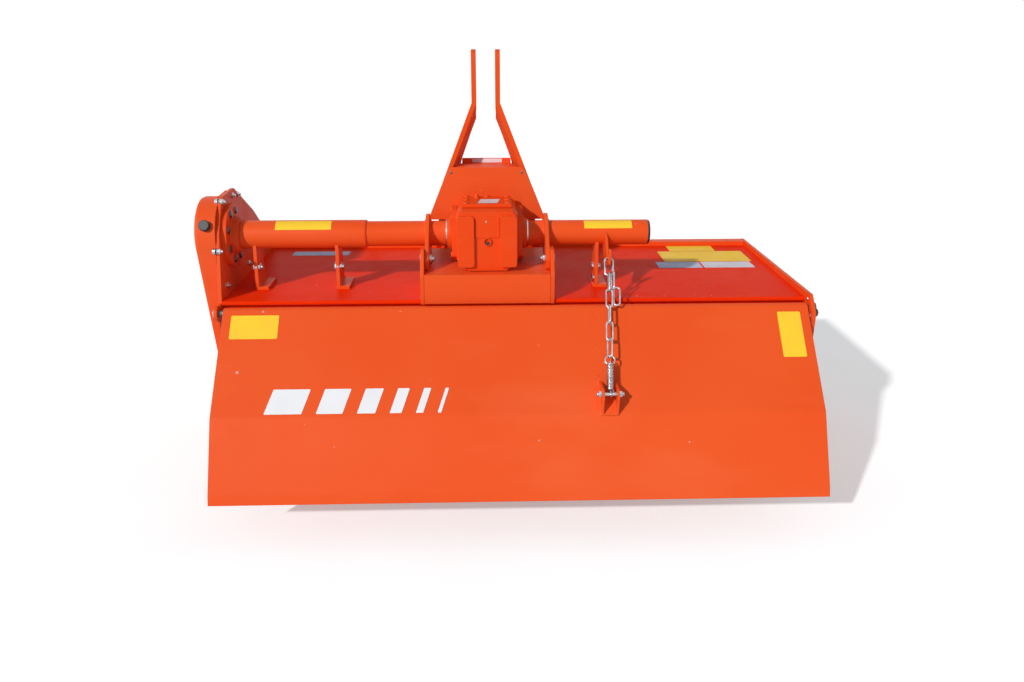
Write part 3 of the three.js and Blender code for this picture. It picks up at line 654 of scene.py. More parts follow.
# Skin: refined copies of the CAD solids
@dataclass
class Skin:
    """Merged copies of the CAD solids, with rolled-over edges and smooth round faces."""

    edge_radius: dict[str, float] = field(default_factory=dict)
    plain: tuple[str, ...] = ("stay_chain", "stay_spring")
    bends: tuple[tuple[float, float], ...] = ((-211.0, -200.0), (-285.0, -348.0))
    bend_radius: float = 5.0

    def refine(self, node: str, body: Body, slot: Slot, finish: Finish) -> bpy.types.Object:
        """Makes the refined copy of one node.

        Args:
            node: name of the CAD node.
            body: body that it rides on.
            slot: record slot.
            finish: its finish.

        Returns:
            The piece.
        """
        piece = bpy.data.objects.new(node + "_skin", frame["nodes"][node].data.copy())
        bpy.context.collection.objects.link(piece)
        Bench.edit(piece)
        bpy.ops.mesh.select_all(action="SELECT")
        bpy.ops.mesh.remove_doubles(threshold=0.000004)
        bpy.ops.mesh.dissolve_limited(angle_limit=math.radians(0.4))
        radius = self.edge_radius.get(node, 0.0)
        if radius > 0.0:
            bpy.ops.mesh.select_mode(type="EDGE")
            bpy.ops.mesh.select_all(action="DESELECT")
            bpy.ops.mesh.edges_select_sharp(sharpness=math.radians(35))
            bpy.ops.mesh.bevel(offset=radius * MM, segments=2, clamp_overlap=True)
        if node == "levelling_board":
            self.roll_bends(piece)
        bpy.ops.object.mode_set(mode="OBJECT")
        Bench.dress(piece, node + "_skin", body, slot, finish, 30.0)
        Bench.only(piece)
        weighted = piece.modifiers.new("weighted", "WEIGHTED_NORMAL")
        weighted.keep_sharp = True
        bpy.ops.object.modifier_apply(modifier=weighted.name)
        Bench.clear()
        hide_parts(node)
        return piece

    def roll_bends(self, piece: bpy.types.Object) -> None:
        """Rounds the crease and the lip of the board's sheet.

        Args:
            piece: the board's copy, in edit mode.
        """
        for y, z in self.bends:
            near = at(0, y, z)

            def on_bend(a: Vector, b: Vector, near: Vector = near) -> bool:
                """Whether an edge runs along the bend."""
                reach = max(math.hypot(p.y - near.y, p.z - near.z) for p in (a, b))
                return reach < 7 * MM and abs(a.x - b.x) > 0.1

            Bench.pick(piece, "EDGE", on_bend)
            bpy.ops.mesh.bevel(offset=self.bend_radius * MM, segments=3, clamp_overlap=True)

    def build(self) -> None:
        """Refines every node of every body."""
        record = frame["record"]
        slots = {part["node"]: part["material_slot"] for part in record["subparts"]}
        for body, nodes in record["behaviour"]["bodies"].items():
            for node in nodes:
                if node in self.plain:
                    continue
                finish = FINISH_OF_NODE.get(node, FINISH_OF_SLOT[slots[node]])
                self.refine(node, Body(body), Slot(slots[node]), finish)


# Fasteners
@dataclass(frozen=True)
class BoltSize:
    """A bolt's sizes in millimetres."""

    thread: float
    across: float
    head: float
    washer: float


M8 = BoltSize(8.0, 13.0, 5.3, 16.0)
M10 = BoltSize(10.0, 16.0, 6.4, 20.0)
M12 = BoltSize(12.0, 18.0, 7.5, 24.0)
M14 = BoltSize(14.0, 21.0, 8.8, 28.0)


class Fastener(Enum):
    """Kinds of fastener end."""

    HEAD = "head"
    NUT = "nut"


@dataclass
class Fasteners:
    """Hexagon bolts and nuts, modelled once for each size and stamped in groups."""

    washer_thickness: float = 1.6
    stud_reach: float = 5.0

    def template(self, size: BoltSize, kind: Fastener, washer: bool = True) -> bpy.types.Object:
        """Models one head or nut, seated on z = 0 and standing along +Z.

        Args:
            size: bolt size.
            kind: head, or nut with the end of its stud.
            washer: whether a washer lies under it.

        Returns:
            The template.
        """
        base = self.washer_thickness if washer else 0.0
        height = size.head if kind is Fastener.HEAD else size.head * 1.2
        top = (base + height) * MM
        obj = Bench.cylinder(size.across / math.sqrt(3) * MM, height * MM, 6,
                             (0, 0, (base + height / 2) * MM))
        Bench.edit(obj)
        Bench.pick(obj, "FACE", lambda middle, normal: normal.z > UP_FACING)
        bpy.ops.mesh.inset(thickness=size.across * 0.06 * MM)
        bpy.ops.transform.translate(value=(0, 0, size.head * 0.09 * MM))
        Bench.pick(obj, "EDGE", lambda a, b: abs(a.z - b.z) > height * 0.7 * MM)
        bpy.ops.mesh.bevel(offset=size.across * 0.03 * MM, segments=1)
        if washer:
            Bench.cylinder(size.washer / 2 * MM, base * MM, 20, (0, 0, base / 2 * MM))
        if kind is Fastener.NUT:
            reach = self.stud_reach * MM
            Bench.cylinder(size.thread / 2 * 0.92 * MM, reach + height * MM, 12,
                           (0, 0, top + (reach - height * MM) / 2))
            Bench.pick(obj, "FACE",
                       lambda middle, normal: normal.z > UP_FACING and middle.z > top + reach * 0.6)
            bpy.ops.mesh.inset(thickness=size.thread * 0.1 * MM)
            bpy.ops.transform.translate(value=(0, 0, 0.7 * MM))
        bpy.ops.object.mode_set(mode="OBJECT")
        return obj

    def group(self, name: str, size: BoltSize, kind: Fastener, spots: list[tuple[Vector, Vector]],
              body: Body = Body.FRAME, finish: Finish = ZINC, washer: bool = True) -> bpy.types.Object:
        """Stamps one group of fasteners as one piece.

        Args:
            name: name of the piece.
            size: bolt size.
            kind: head or nut.
            spots: seat point and outward direction of each.
            body: body that they ride on.
            finish: their finish.
            washer: whether each has a washer.

        Returns:
            The piece.
        """
        places = [Bench.facing(point, out, 17.0 * i) for i, (point, out) in enumerate(spots)]
        piece = Bench.stamp(self.template(size, kind, washer), places)
        return Bench.dress(piece, name, body, Slot.ZINC, finish)


FASTENERS = Fasteners()
RIGHT = Vector((1, 0, 0))
LEFT = Vector((-1, 0, 0))
FORWARD = Vector((0, 1, 0))
REAR = Vector((0, -1, 0))
UP = Vector((0, 0, 1))


def spoke(centre: Vector, reach: float, angle: float) -> Spot:
    """The y and z of a point at some millimetres from an axis along X, in degrees from forward, rising."""
    turn = math.radians(angle)
    return centre.y + reach * math.cos(turn), centre.z + reach * math.sin(turn)


def ring(x: float, centre: Vector, radius: float, angles: list[float]) -> list[Vector]:
    """One place for each angle round an axis along X, at x millimetres from the hitch line."""
    return [at(x, *spoke(centre, radius, angle)) for angle in angles]


def face_x(node: str, side: int) -> float:
    """Millimetres from the hitch line to a node's left (-1) or right (1) end."""
    low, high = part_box(node)
    return LAYOUT.local(high if side > 0 else low).x


# Weld beads
@dataclass
class Welds:
    """Rippled weld beads: straight ones along a seam and round ones at a tube's foot."""

    radius: float = 2.6
    ripple: float = 3.2
    sides: int = 8

    def straight(self, start: Vector, end: Vector) -> bpy.types.Object:
        """Models one straight bead.

        Args:
            start: first end.
            end: other end.

        Returns:
            The bead.
        """
        run = (end - start).length
        count = max(4, round(run / (self.ripple * MM)))
        bead = Bench.cylinder(self.radius * MM, run, self.sides)
        Bench.edit(bead)
        Bench.pick(bead, "EDGE", lambda a, b: abs(a.z - b.z) > run * 0.9)
        bpy.ops.mesh.subdivide(number_cuts=count - 1)
        step = run / count
        Bench.pick(bead, "VERT", lambda co: round((co.z + run / 2) / step) % 2 == 0)
        bpy.ops.transform.resize(value=(0.74, 0.74, 1.0))
        Bench.pick(bead, "VERT", lambda co: abs(abs(co.z) - run / 2) < step * 0.2)
        bpy.ops.transform.resize(value=(0.5, 0.5, 1.0))
        bpy.ops.object.mode_set(mode="OBJECT")
        bead.data.transform(Bench.facing((start + end) / 2, end - start))
        return bead

    def round(self, middle: Vector, axis: Vector, radius: float) -> bpy.types.Object:
        """Models one bead round a tube.

        Args:
            middle: middle of the ring.
            axis: axis of the tube.
            radius: of the ring, in millimetres.

        Returns:
            The bead.
        """
        segments = max(24, 2 * round(math.pi * radius / self.ripple))
        bead = Bench.torus(radius, self.radius, segments, self.sides)
        Bench.edit(bead)
        Bench.pick(bead, "VERT", lambda co: round(math.atan2(co.y, co.x) % (2 * math.pi) / (2 * math.pi)
                                                  * segments) % 2 == 0)
        bpy.ops.transform.shrink_fatten(value=-self.radius * 0.22 * MM)
        bpy.ops.object.mode_set(mode="OBJECT")
        bead.data.transform(Bench.facing(middle, axis))
        return bead

    def piece(self, name: str, seams: list[tuple[Vector, Vector]], rings: list[tuple[Vector, Vector, float]],
              body: Body = Body.FRAME) -> bpy.types.Object:
        """Models straight beads, by their ends, and round ones, by middle, axis and radius, as one piece."""
        beads = [self.straight(*seam) for seam in seams] + [self.round(*one) for one in rings]
        return Bench.dress(Bench.join(beads), name, body, Slot.PAINT, BEAD_PAINT, 60.0)


WELDS = Welds()


# Sub-assemblies
@dataclass
class GearDrive:
    """Fasteners and fittings of the gear cover, its side plate and the tube's flange."""

    flange_bolts: int = 8
    flange_bolt_circle: float = 59.0
    flange_weld: float = 45.5
    cover_bolt_circle: float = 99.0
    cover_rim: float = 4.6
    cover_end: float = 9.0
    rim_bolts: tuple[Spot, ...] = ((94.0, 216.0), (34.0, 112.0), (61.0, 23.0))
    plate_bolt: Spot = (226.0, 210.0)
    hinge: Spot = (-24.0, -20.0)
    drain_angle: float = 205.0
    drain_inset: float = 24.0

    def cover_spots(self) -> list[Spot]:
        """Finds the places of the cover's bolts.

        Returns:
            The y and z of each on the side plate, in millimetres.
        """
        tube = LAYOUT.local(LAYOUT.middle("right_tube"))
        rotor = LAYOUT.local(LAYOUT.middle("rotor_tube"))
        run = Vector((0, rotor.y - tube.y, rotor.z - tube.z))
        along = run.normalized()
        rear = Vector((0, along.z, -along.y))
        spots = [*self.rim_bolts]
        spots += [spoke(tube, self.cover_bolt_circle, angle) for angle in (60.0, 10.0)]
        for share, side in ((0.62, 1), (0.84, 1), (0.34, -1), (0.6, -1), (0.84, -1)):
            point = tube + run * share + rear * side * (self.cover_bolt_circle + 8 * share)
            spots.append((point.y, point.z))
        reach = self.cover_bolt_circle + self.cover_end
        return spots + [spoke(rotor, reach, angle) for angle in (200.0, 250.0, 300.0, 345.0)]

    def build(self) -> None:
        """Builds the gear drive's fittings."""
        outer, inner = face_x("left_side_plate", -1), face_x("left_side_plate", 1)
        rim = outer - self.cover_rim
        spots = self.cover_spots()
        FASTENERS.group("cover_bolts", M8, Fastener.HEAD, [(at(rim, y, z), LEFT) for y, z in spots])
        inside = [*spots, self.plate_bolt]
        FASTENERS.group("cover_nuts", M8, Fastener.NUT, [(at(inner, y, z), RIGHT) for y, z in inside])
        FASTENERS.group("hinge_rod_head", M12, Fastener.HEAD, [(at(outer, *self.hinge), LEFT)])
        tube = LAYOUT.local(LAYOUT.middle("right_tube"))
        angles = [22.5 + 360.0 / self.flange_bolts * i for i in range(self.flange_bolts)]
        face = inner + FIT + FLANGE
        heads = [(place, RIGHT) for place in ring(face, tube, self.flange_bolt_circle, angles)]
        FASTENERS.group("tube_flange_bolts", M10, Fastener.HEAD, heads, finish=DARK_BOLT)
        WELDS.piece("tube_flange_weld", [], [(at(face + 1, tube.y, tube.z), RIGHT, self.flange_weld)])
        self.drain_plug()

    def drain_plug(self) -> None:
        """Builds the oil drain plug low on the cover and the level plug on its face."""
        rotor = LAYOUT.local(LAYOUT.middle("rotor_tube"))
        face = face_x("drive_cover", -1)
        turn = math.radians(self.drain_angle)
        out = Vector((0, math.cos(turn), math.sin(turn)))
        seat = at(face + self.drain_inset, rotor.y, rotor.z) + out * self.cover_bolt_circle * MM
        FASTENERS.group("drain_plug", M12, Fastener.HEAD, [(seat, out)])
        FASTENERS.group("level_plug_cover", M10, Fastener.HEAD, [(at(face, rotor.y, rotor.z + 4), LEFT)])


@dataclass
class Gearbox:
    """Details of the bevel gearbox: plugs, cover bolts, flange bolts and machined rings."""

    half_width: float = 71.5
    recess_depth: float = 8.0
    plug_seat: Spot = (1.0, 130.0)
    pin_seat: Spot = (-2.0, 180.0)
    pin_size: Spot = (2.4, 1.6)
    flange_bolt_circle: float = 57.0
    neck_bolt_circle: float = 45.5
    breather_seat: Spot = (-24.0, 128.0)
    seat_ring: float = 97.4

    def build(self) -> None:
        """Builds the gearbox details."""
        recess = LAYOUT.local(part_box("gearbox_rear_cover")[0]).y + self.recess_depth
        self.level_plug(at(self.plug_seat[0], recess, self.plug_seat[1]))
        pin = Carriers.rivet(*self.pin_size)
        seat = at(self.pin_seat[0], recess - self.pin_size[1], self.pin_seat[1])
        pin.data.transform(Bench.facing(seat, REAR))
        Bench.dress(pin, "rear_cover_pin", Body.FRAME, Slot.ZINC, ZINC, 60.0)
        self.recess_step(recess)
        top = LAYOUT.local(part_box("gearbox_top_cover")[1]).z
        corners = [(x, y) for x in (-49, 49) for y in (63, 145)] + [(0, 146), (-49, 104), (49, 104)]
        FASTENERS.group("gearbox_top_bolts", M8, Fastener.HEAD, [(at(x, y, top), UP) for x, y in corners],
                        finish=PAINT, washer=False)
        axis = LAYOUT.local(LAYOUT.middle("right_tube"))
        angles = [50.0, 90.0, 130.0, 230.0, 270.0, 310.0]
        for side, name in ((-1, "left"), (1, "right")):
            face = side * (self.half_width + FIT + FLANGE)
            spots = ring(face, axis, self.flange_bolt_circle, angles)
            FASTENERS.group(f"gearbox_{name}_flange_bolts", M8, Fastener.HEAD,
                            [(p, RIGHT * side) for p in spots], finish=PAINT, washer=False)
        neck = LAYOUT.local(LAYOUT.middle("gearbox_input_neck"))
        face = LAYOUT.local(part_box("gearbox_housing")[1]).y + FIT + FLANGE
        spots = []
        for i in range(6):
            turn = math.radians(60 * i + 30)
            place = at(self.neck_bolt_circle * math.cos(turn), face,
                       neck.z + self.neck_bolt_circle * math.sin(turn))
            spots.append((place, FORWARD))
        FASTENERS.group("gearbox_neck_bolts", M8, Fastener.HEAD, spots, finish=PAINT, washer=False)
        self.breather(at(*self.breather_seat, top))
        self.shaft_seal()
        self.machined_rings()

    def level_plug(self, seat: Vector) -> None:
        """Builds the oil level plug, with a black hexagon disc in its socket as painted shade.

        Args:
            seat: middle of its seat on the rear cover.
        """
        plug = Bench.cylinder(9.5 * MM, 9 * MM, 28, (0, 0, 4.5 * MM))
        Bench.crown(plug, [(1.2, 1.0), (3.6, -6.0)])
        plug.data.transform(Bench.facing(seat, REAR))
        Bench.dress(plug, "oil_level_plug", Body.FRAME, Slot.PAINT, PAINT, 40.0)
        # Black hexagon disc in the plug's socket: painted shade in the hole.
        hole = Bench.cylinder(4.6 * MM, 1.2 * MM, 6, (0, 0, 0.6 * MM))
        Bench.crown(hole, [(1.0, 0.0)])
        hole.data.transform(Bench.facing(seat + REAR * 4.2 * MM, REAR))
        Bench.dress(hole, "oil_level_plug_socket_painted_shade", Body.FRAME, Slot.PLASTIC, PLASTIC)

    def recess_step(self, recess: float) -> None:
        """Builds the raised cast land in the upper half of the cover's recess.

        Args:
            recess: y of the recess's face, in millimetres.
        """
        Bench.clear()
        bpy.ops.mesh.primitive_cube_add(size=1.0, location=at(0.0, recess - 0.2, 167.0),
                                        scale=(0.0585, 0.002, 0.048))
        land = bpy.context.active_object
        bpy.ops.object.transform_apply(location=True, rotation=False, scale=True)
        Bench.edit(land)
        Bench.pick(land, "FACE", lambda middle, normal: normal.y < -UP_FACING)
        bpy.ops.mesh.inset(thickness=0.8 * MM)
        bpy.ops.transform.translate(value=(0, -0.5 * MM, 0))
        bpy.ops.object.mode_set(mode="OBJECT")
        Bench.dress(land, "rear_cover_land", Body.FRAME, Slot.PAINT, CAST_PAINT_SHADED)

    def breather(self, seat: Vector) -> None:
        """Builds the breather cap on the top cover.

        Args:
            seat: middle of its seat.
        """
        cap = Bench.cylinder(7.0 * MM, 5 * MM, 20, (0, 0, 2.5 * MM))
        Bench.edit(cap)
        Bench.pick(cap, "FACE", lambda middle, normal: normal.z > UP_FACING)
        bpy.ops.mesh.inset(thickness=2.0 * MM)
        bpy.ops.mesh.extrude_region_move(TRANSFORM_OT_translate={"value": (0, 0, 4 * MM)})
        bpy.ops.mesh.inset(thickness=1.0 * MM)
        bpy.ops.transform.translate(value=(0, 0, 1.0 * MM))
        bpy.ops.object.mode_set(mode="OBJECT")
        cap.data.transform(Matrix.Translation(seat))
        Bench.dress(cap, "gearbox_breather", Body.FRAME, Slot.PAINT, PAINT)

    def shaft_seal(self) -> None:
        """Builds the rubber lip round the input shaft."""
        low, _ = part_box("input_shaft")
        middle = LAYOUT.middle("gearbox_input_neck")
        seal = Bench.torus(26, 2.2, 40, 10)
        Bench.edit(seal)
        Bench.pick(seal, "VERT", lambda co: co.z > 1.0 * MM)
        bpy.ops.transform.resize(value=(0.94, 0.94, 1.0))
        bpy.ops.object.mode_set(mode="OBJECT")
        seal.data.transform(Bench.facing(Vector((middle.x, low.y - 0.3 * MM, middle.z)), FORWARD))
        Bench.dress(seal, "input_seal", Body.FRAME, Slot.PLASTIC, PLASTIC, 60.0)

    def machined_rings(self) -> None:
        """Builds the unpainted rings that show between the side flanges and the tubes."""
        axis = LAYOUT.local(LAYOUT.middle("right_tube"))
        rings = []
        for side in (-1, 1):
            band = Bench.cylinder(34.0 * MM, 2.6 * MM, 48)
            Bench.edit(band)
            Bench.pick(band, "FACE", lambda middle, normal: abs(normal.z) > UP_FACING)
            bpy.ops.mesh.inset(thickness=0.6 * MM)
            bpy.ops.transform.resize(value=(1.0, 1.0, 1.3))
            bpy.ops.object.mode_set(mode="OBJECT")
            band.data.transform(Bench.facing(at(side * self.seat_ring, axis.y, axis.z), RIGHT * side))
            rings.append(band)
        Bench.dress(Bench.join(rings), "tube_seat_rings", Body.FRAME, Slot.STEEL, BARE)


@dataclass
class Carriers:
    """Bolts and welds of the lugs, brackets, mast, hitch, skids and rotor bearing."""

    lug_inner: float = 138.0
    lug_outer: float = 156.3
    lug_bolt: Spot = (79.0, 79.0)
    lug_seams: Spot = (148.0, 156.8)
    lug_rings: Spot = (136.8, 148.2)
    lug_foot: Spot = (6.0, 142.0)
    left_brackets: Spot = (-558.0, -362.0)
    right_bracket: float = 266.0
    bracket_half: float = 4.0
    bracket_bead: float = 4.5
    left_bolt: Spot = (110.0, 54.0)
    right_bolt: Spot = (133.0, 44.0)
    foot_bolt: Spot = (110.0, 20.0)
    bracket_foot: Spot = (100.0, 174.0)
    sleeve_end: float = -292.0
    weld_lift: float = 1.5
    hitch_bolts: tuple[Spot, ...] = ((311.0, -12.0), (311.0, -32.0))
    plate_skin: float = 8.3
    skid_bolts: tuple[Spot, ...] = ((110.0, -414.0), (340.0, -414.0))
    bearing_bolt_circle: float = 51.0

    def build(self) -> None:
        """Builds them all."""
        self.lugs()
        self.brackets()
        self.mast()
        self.hitch()
        self.skids()
        self.bearing()

    def lugs(self) -> None:
        """Bolts through the tube lugs and deck lugs, and their welds."""
        heads, nuts, seams = [], [], []
        rear, front = self.lug_foot
        for side in (-1, 1):
            heads.append((at(side * self.lug_outer, *self.lug_bolt), RIGHT * side))
            nuts.append((at(side * self.lug_inner, *self.lug_bolt), LEFT * side))
            seams += [(at(side * x, rear, self.weld_lift), at(side * x, front, self.weld_lift))
                      for x in self.lug_seams]
        FASTENERS.group("lug_bolts", M14, Fastener.HEAD, heads)
        FASTENERS.group("lug_nuts", M14, Fastener.NUT, nuts)
        tube = LAYOUT.local(LAYOUT.middle("right_tube"))
        rings = [(at(side * x, tube.y, tube.z), RIGHT, 31.2) for side in (-1, 1) for x in self.lug_rings]
        WELDS.piece("lug_welds", seams, rings)

    def brackets(self) -> None:
        """Bolts through the plate brackets, and the welds at their feet."""
        heads, nuts, seams = [], [], []
        rear, front = self.bracket_foot
        for x in (*self.left_brackets, self.right_bracket):
            bolt = self.right_bolt if x > 0 else self.left_bolt
            heads.append((at(x - self.bracket_half, *bolt), LEFT))
            nuts.append((at(x + self.bracket_half, *bolt), RIGHT))
            bead = x - self.bracket_bead
            seams.append((at(bead, rear, self.weld_lift), at(bead, front, self.weld_lift)))
        heads.append((at(self.right_bracket - self.bracket_half, *self.foot_bolt), LEFT))
        FASTENERS.group("bracket_bolts", M12, Fastener.HEAD, heads)
        FASTENERS.group("bracket_nuts", M12, Fastener.NUT, nuts)
        tube = LAYOUT.local(LAYOUT.middle("right_tube"))
        WELDS.piece("bracket_welds", seams, [])
        WELDS.piece("sleeve_weld", [], [(at(self.sleeve_end, tube.y, tube.z), RIGHT, 31.0)])

    def mast(self) -> None:
        """Welds at the arms' feet and rivets that hold the shield to the arms."""
        rear, front = (LAYOUT.local(corner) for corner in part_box("front_beam"))
        foot = LAYOUT.local(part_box("mast_arm_right")[1]).x
        height = front.z + self.weld_lift
        seams = [(at(side * (foot + 1.5), rear.y + 2, height), at(side * (foot - 5.0), front.y - 2, height))
                 for side in (-1, 1)]
        WELDS.piece("mast_welds", seams, [])
        shield = LAYOUT.local(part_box("pto_shield")[0])
        places = [Bench.facing(at(side * 86.0, shield.y, 268.0), REAR) for side in (-1, 1)]
        piece = Bench.stamp(self.rivet(3.2, 1.2), places)
        Bench.dress(piece, "shield_rivets", Body.FRAME, Slot.ZINC, DARK_BOLT, 60.0)

    @staticmethod
    def rivet(radius: float, height: float) -> bpy.types.Object:
        """Models a domed rivet head on z = 0.

        Args:
            radius: of the head, in millimetres.
            height: of the dome, in millimetres.

        Returns:
            The template.
        """
        head = Bench.cylinder(radius * MM, height * 0.5 * MM, 18, (0, 0, height * 0.25 * MM))
        Bench.crown(head, [(radius * 0.28, height * 0.28)] * 2)
        return head

    def hitch(self) -> None:
        """Bolts of the lower hitch brackets."""
        front = LAYOUT.local(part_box("front_beam")[1])
        heads = [(at(side * x, front.y + self.plate_skin, front.z + z), FORWARD)
                 for side in (-1, 1) for x, z in self.hitch_bolts]
        FASTENERS.group("hitch_bolts", M12, Fastener.HEAD, heads)

    def skids(self) -> None:
        """Bolts that hold the skids to the side plates."""
        heads = []
        for side, plate in ((-1, "left_side_plate"), (1, "right_side_plate")):
            face = face_x(plate, side) + side * self.plate_skin
            heads += [(at(face, *bolt), RIGHT * side) for bolt in self.skid_bolts]
        FASTENERS.group("skid_bolts", M12, Fastener.HEAD, heads)

    def bearing(self) -> None:
        """Bolts of the rotor bearing hub."""
        axis = LAYOUT.local(LAYOUT.middle("rotor_tube"))
        face = face_x("right_side_plate", 1) + FIT + FLANGE
        spots = ring(face, axis, self.bearing_bolt_circle, [30.0 + 60.0 * i for i in range(6)])
        FASTENERS.group("bearing_bolts", M10, Fastener.HEAD, [(p, RIGHT) for p in spots])


@dataclass
class RotorFasteners:
    """Bolts that hold the blades to the rotor's flanges."""

    flanges: int = 6
    blades: int = 6
    twist: float = 20.0
    flange_half: float = 4.0
    blade_out: float = 11.0
    radius: float = 70.0
    pitch: float = 11.5

    def build(self) -> None:
        """Builds the heads and nuts."""
        heads, nuts = [], []
        axis = LAYOUT.middle("rotor_tube")
        for index in range(self.flanges):
            middle = LAYOUT.middle(f"rotor_flange_{index + 1}")
            for blade in range(self.blades):
                side = 1 if blade % 2 == 0 else -1
                angle = math.radians(blade * 360.0 / self.blades + index * self.twist)
                radial = Vector((0, math.cos(angle), math.sin(angle)))
                across = Vector((0, -math.sin(angle), math.cos(angle)))
                for step in (-1, 1):
                    offset = (radial * self.radius + across * step * self.pitch) * MM
                    point = Vector((middle.x, axis.y, axis.z)) + offset
                    heads.append((point + RIGHT * side * self.blade_out * MM, RIGHT * side))
                    nuts.append((point - RIGHT * side * self.flange_half * MM, LEFT * side))
        FASTENERS.group("blade_bolts", M10, Fastener.HEAD, heads, Body.ROTOR, DARK_BOLT, washer=False)
        FASTENERS.group("blade_nuts", M10, Fastener.NUT, nuts, Body.ROTOR, DARK_BOLT, washer=False)


@dataclass
class Labels:
    """Blank films: flat ones on sheet metal and curved ones on the tubes."""

    thickness: float = 0.35
    corner: float = 3.0
    lift: float = 0.3
    tube_start: float = 150.0
    tube_sweep: float = 50.0

    def flat(self, name: str, middle: Vector, right: Vector, up: Vector, width: float, height: float,
             finish: Finish, body: Body = Body.FRAME, skew: float = 0.0) -> bpy.types.Object:
        """Lays one flat film.

        Args:
            name: name of the piece.
            middle: middle of its back.
            right: direction of its width.
            up: direction of its height.
            width: in millimetres.
            height: in millimetres.
            finish: its finish.
            body: body that it rides on.
            skew: how far its top edge is shifted along its width.

        Returns:
            The piece.
        """
        Bench.clear()
        bpy.ops.mesh.primitive_plane_add(size=1.0)
        film = bpy.context.active_object
        Bench.edit(film)
        bpy.ops.mesh.select_all(action="SELECT")
        bpy.ops.transform.resize(value=(width * MM, height * MM, 1.0))
        bpy.ops.mesh.bevel(offset=min(self.corner, height * 0.12) * MM, segments=3, affect="VERTICES")
        if skew:
            Bench.pick(film, "VERT", lambda co: co.y > 0)
            bpy.ops.transform.translate(value=(skew * MM, 0, 0))
        bpy.ops.mesh.select_all(action="SELECT")
        bpy.ops.mesh.extrude_region_move(TRANSFORM_OT_translate={"value": (0, 0, self.thickness * MM)})
        bpy.ops.object.mode_set(mode="OBJECT")
        Bench.recalc(film)
        normal = right.cross(up).normalized()
        turn = Matrix((right.normalized(), up.normalized(), normal)).transposed().to_4x4()
        film.data.transform(Matrix.Translation(middle) @ turn)
        return Bench.dress(film, name, body, Slot.PLASTIC, finish)

    def curved(self, name: str, x0: float, x1: float, radius: float, finish: Finish) -> bpy.types.Object:
        """Wraps one film round the cross tube.

        Args:
            name: name of the piece.
            x0: left end, in millimetres.
            x1: right end.
            radius: of the tube.
            finish: its finish.

        Returns:
            The piece.
        """
        axis = LAYOUT.middle("right_tube")
        Bench.clear()
        bpy.ops.mesh.primitive_plane_add(size=1.0)
        film = bpy.context.active_object
        Bench.edit(film)
        bpy.ops.mesh.select_all(action="SELECT")
        bpy.ops.transform.resize(value=((x1 - x0) * MM, self.thickness * MM, 1.0))
        bpy.ops.transform.translate(value=((x0 + x1) / 2 * MM, (radius + 0.25) * MM, 0))
        bpy.ops.mesh.spin(steps=16, angle=math.radians(self.tube_sweep), center=(0, 0, 0), axis=(1, 0, 0))
        bpy.ops.object.mode_set(mode="OBJECT")
        Bench.recalc(film)
        turn = Matrix.Rotation(math.radians(self.tube_start), 4, "X")
        place = Matrix.Translation(Vector((LAYOUT.origin.x, axis.y, axis.z)))
        film.data.transform(place @ turn)
        return Bench.dress(film, name, Body.FRAME, Slot.PLASTIC, finish)

    def build(self) -> None:
        """Lays every film."""
        self.curved("tube_label_left", -505.0, -372.0, 33.5, YELLOW)
        self.curved("tube_label_right", 234.0, 350.0, 30.15, YELLOW)
        for name, x, y, width, height, finish in (
                ("small", 585, 475.5, 130, 59, YELLOW), ("large", 602, 386.5, 238, 111, YELLOW),
                ("white", 514, 297, 117, 60, BLUE), ("grey", 645, 297, 135, 60, WHITE),
                ("left", -467, 448, 157, 44, BLUE)):
            self.flat(f"deck_label_{name}", at(x, y, self.lift), RIGHT, FORWARD, width, height, finish)
        top = LAYOUT.local(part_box("gearbox_top_cover")[1]).z
        self.flat("gearbox_label", at(2, 88, top + self.lift), RIGHT, FORWARD, 46, 46, WHITE, skew=6)
        shield = LAYOUT.local(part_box("pto_shield")[1])
        self.flat("shield_label", at(2, shield.y - 4.3, shield.z - 6.2), RIGHT, UP, 74, 10, WHITE)
        board = BoardFace()
        films = (("left", -532.0, 42.0, 109, 59), ("right", 698.5, 72.0, 54, 114))
        for name, x, along, width, height in films:
            self.flat(f"board_label_{name}", board.on(x, along, self.lift), RIGHT, board.up, width, height,
                      YELLOW, Body.BOARD)


@dataclass
class BoardFace:
    """The upper slope of the levelling board, as a plane to put things on."""

    sheet: float = 4.0
    roll: float = 13.0
    knee: tuple[float, float] = (-211.0, -200.0)
    hinge: tuple[float, float] = (-24.0, -20.0)
    origin: Vector = field(init=False)
    down: Vector = field(init=False)

    def __post_init__(self) -> None:
        """Finds the slope's upper edge and its direction."""
        lean = math.atan2(self.knee[1] - self.hinge[1], self.knee[0] - self.hinge[0])
        middle = self.roll - self.sheet / 2
        rear, rise = self.hinge
        self.origin = Vector((0, rear + middle * math.sin(lean), rise - middle * math.cos(lean)))
        self.down = (Vector((0, *self.knee)) - self.origin).normalized()

    @property
    def up(self) -> Vector:
        """Direction up the slope."""
        return -self.down

    @property
    def out(self) -> Vector:
        """Direction off the slope's upper face."""
        return RIGHT.cross(self.up).normalized()

    def on(self, x: float, along: float, off: float) -> Vector:
        """A place at x, some millimetres along down the slope and off its upper face."""
        point = self.origin + self.down * along + self.out * (off + self.sheet / 2)
        return at(x, point.y, point.z)


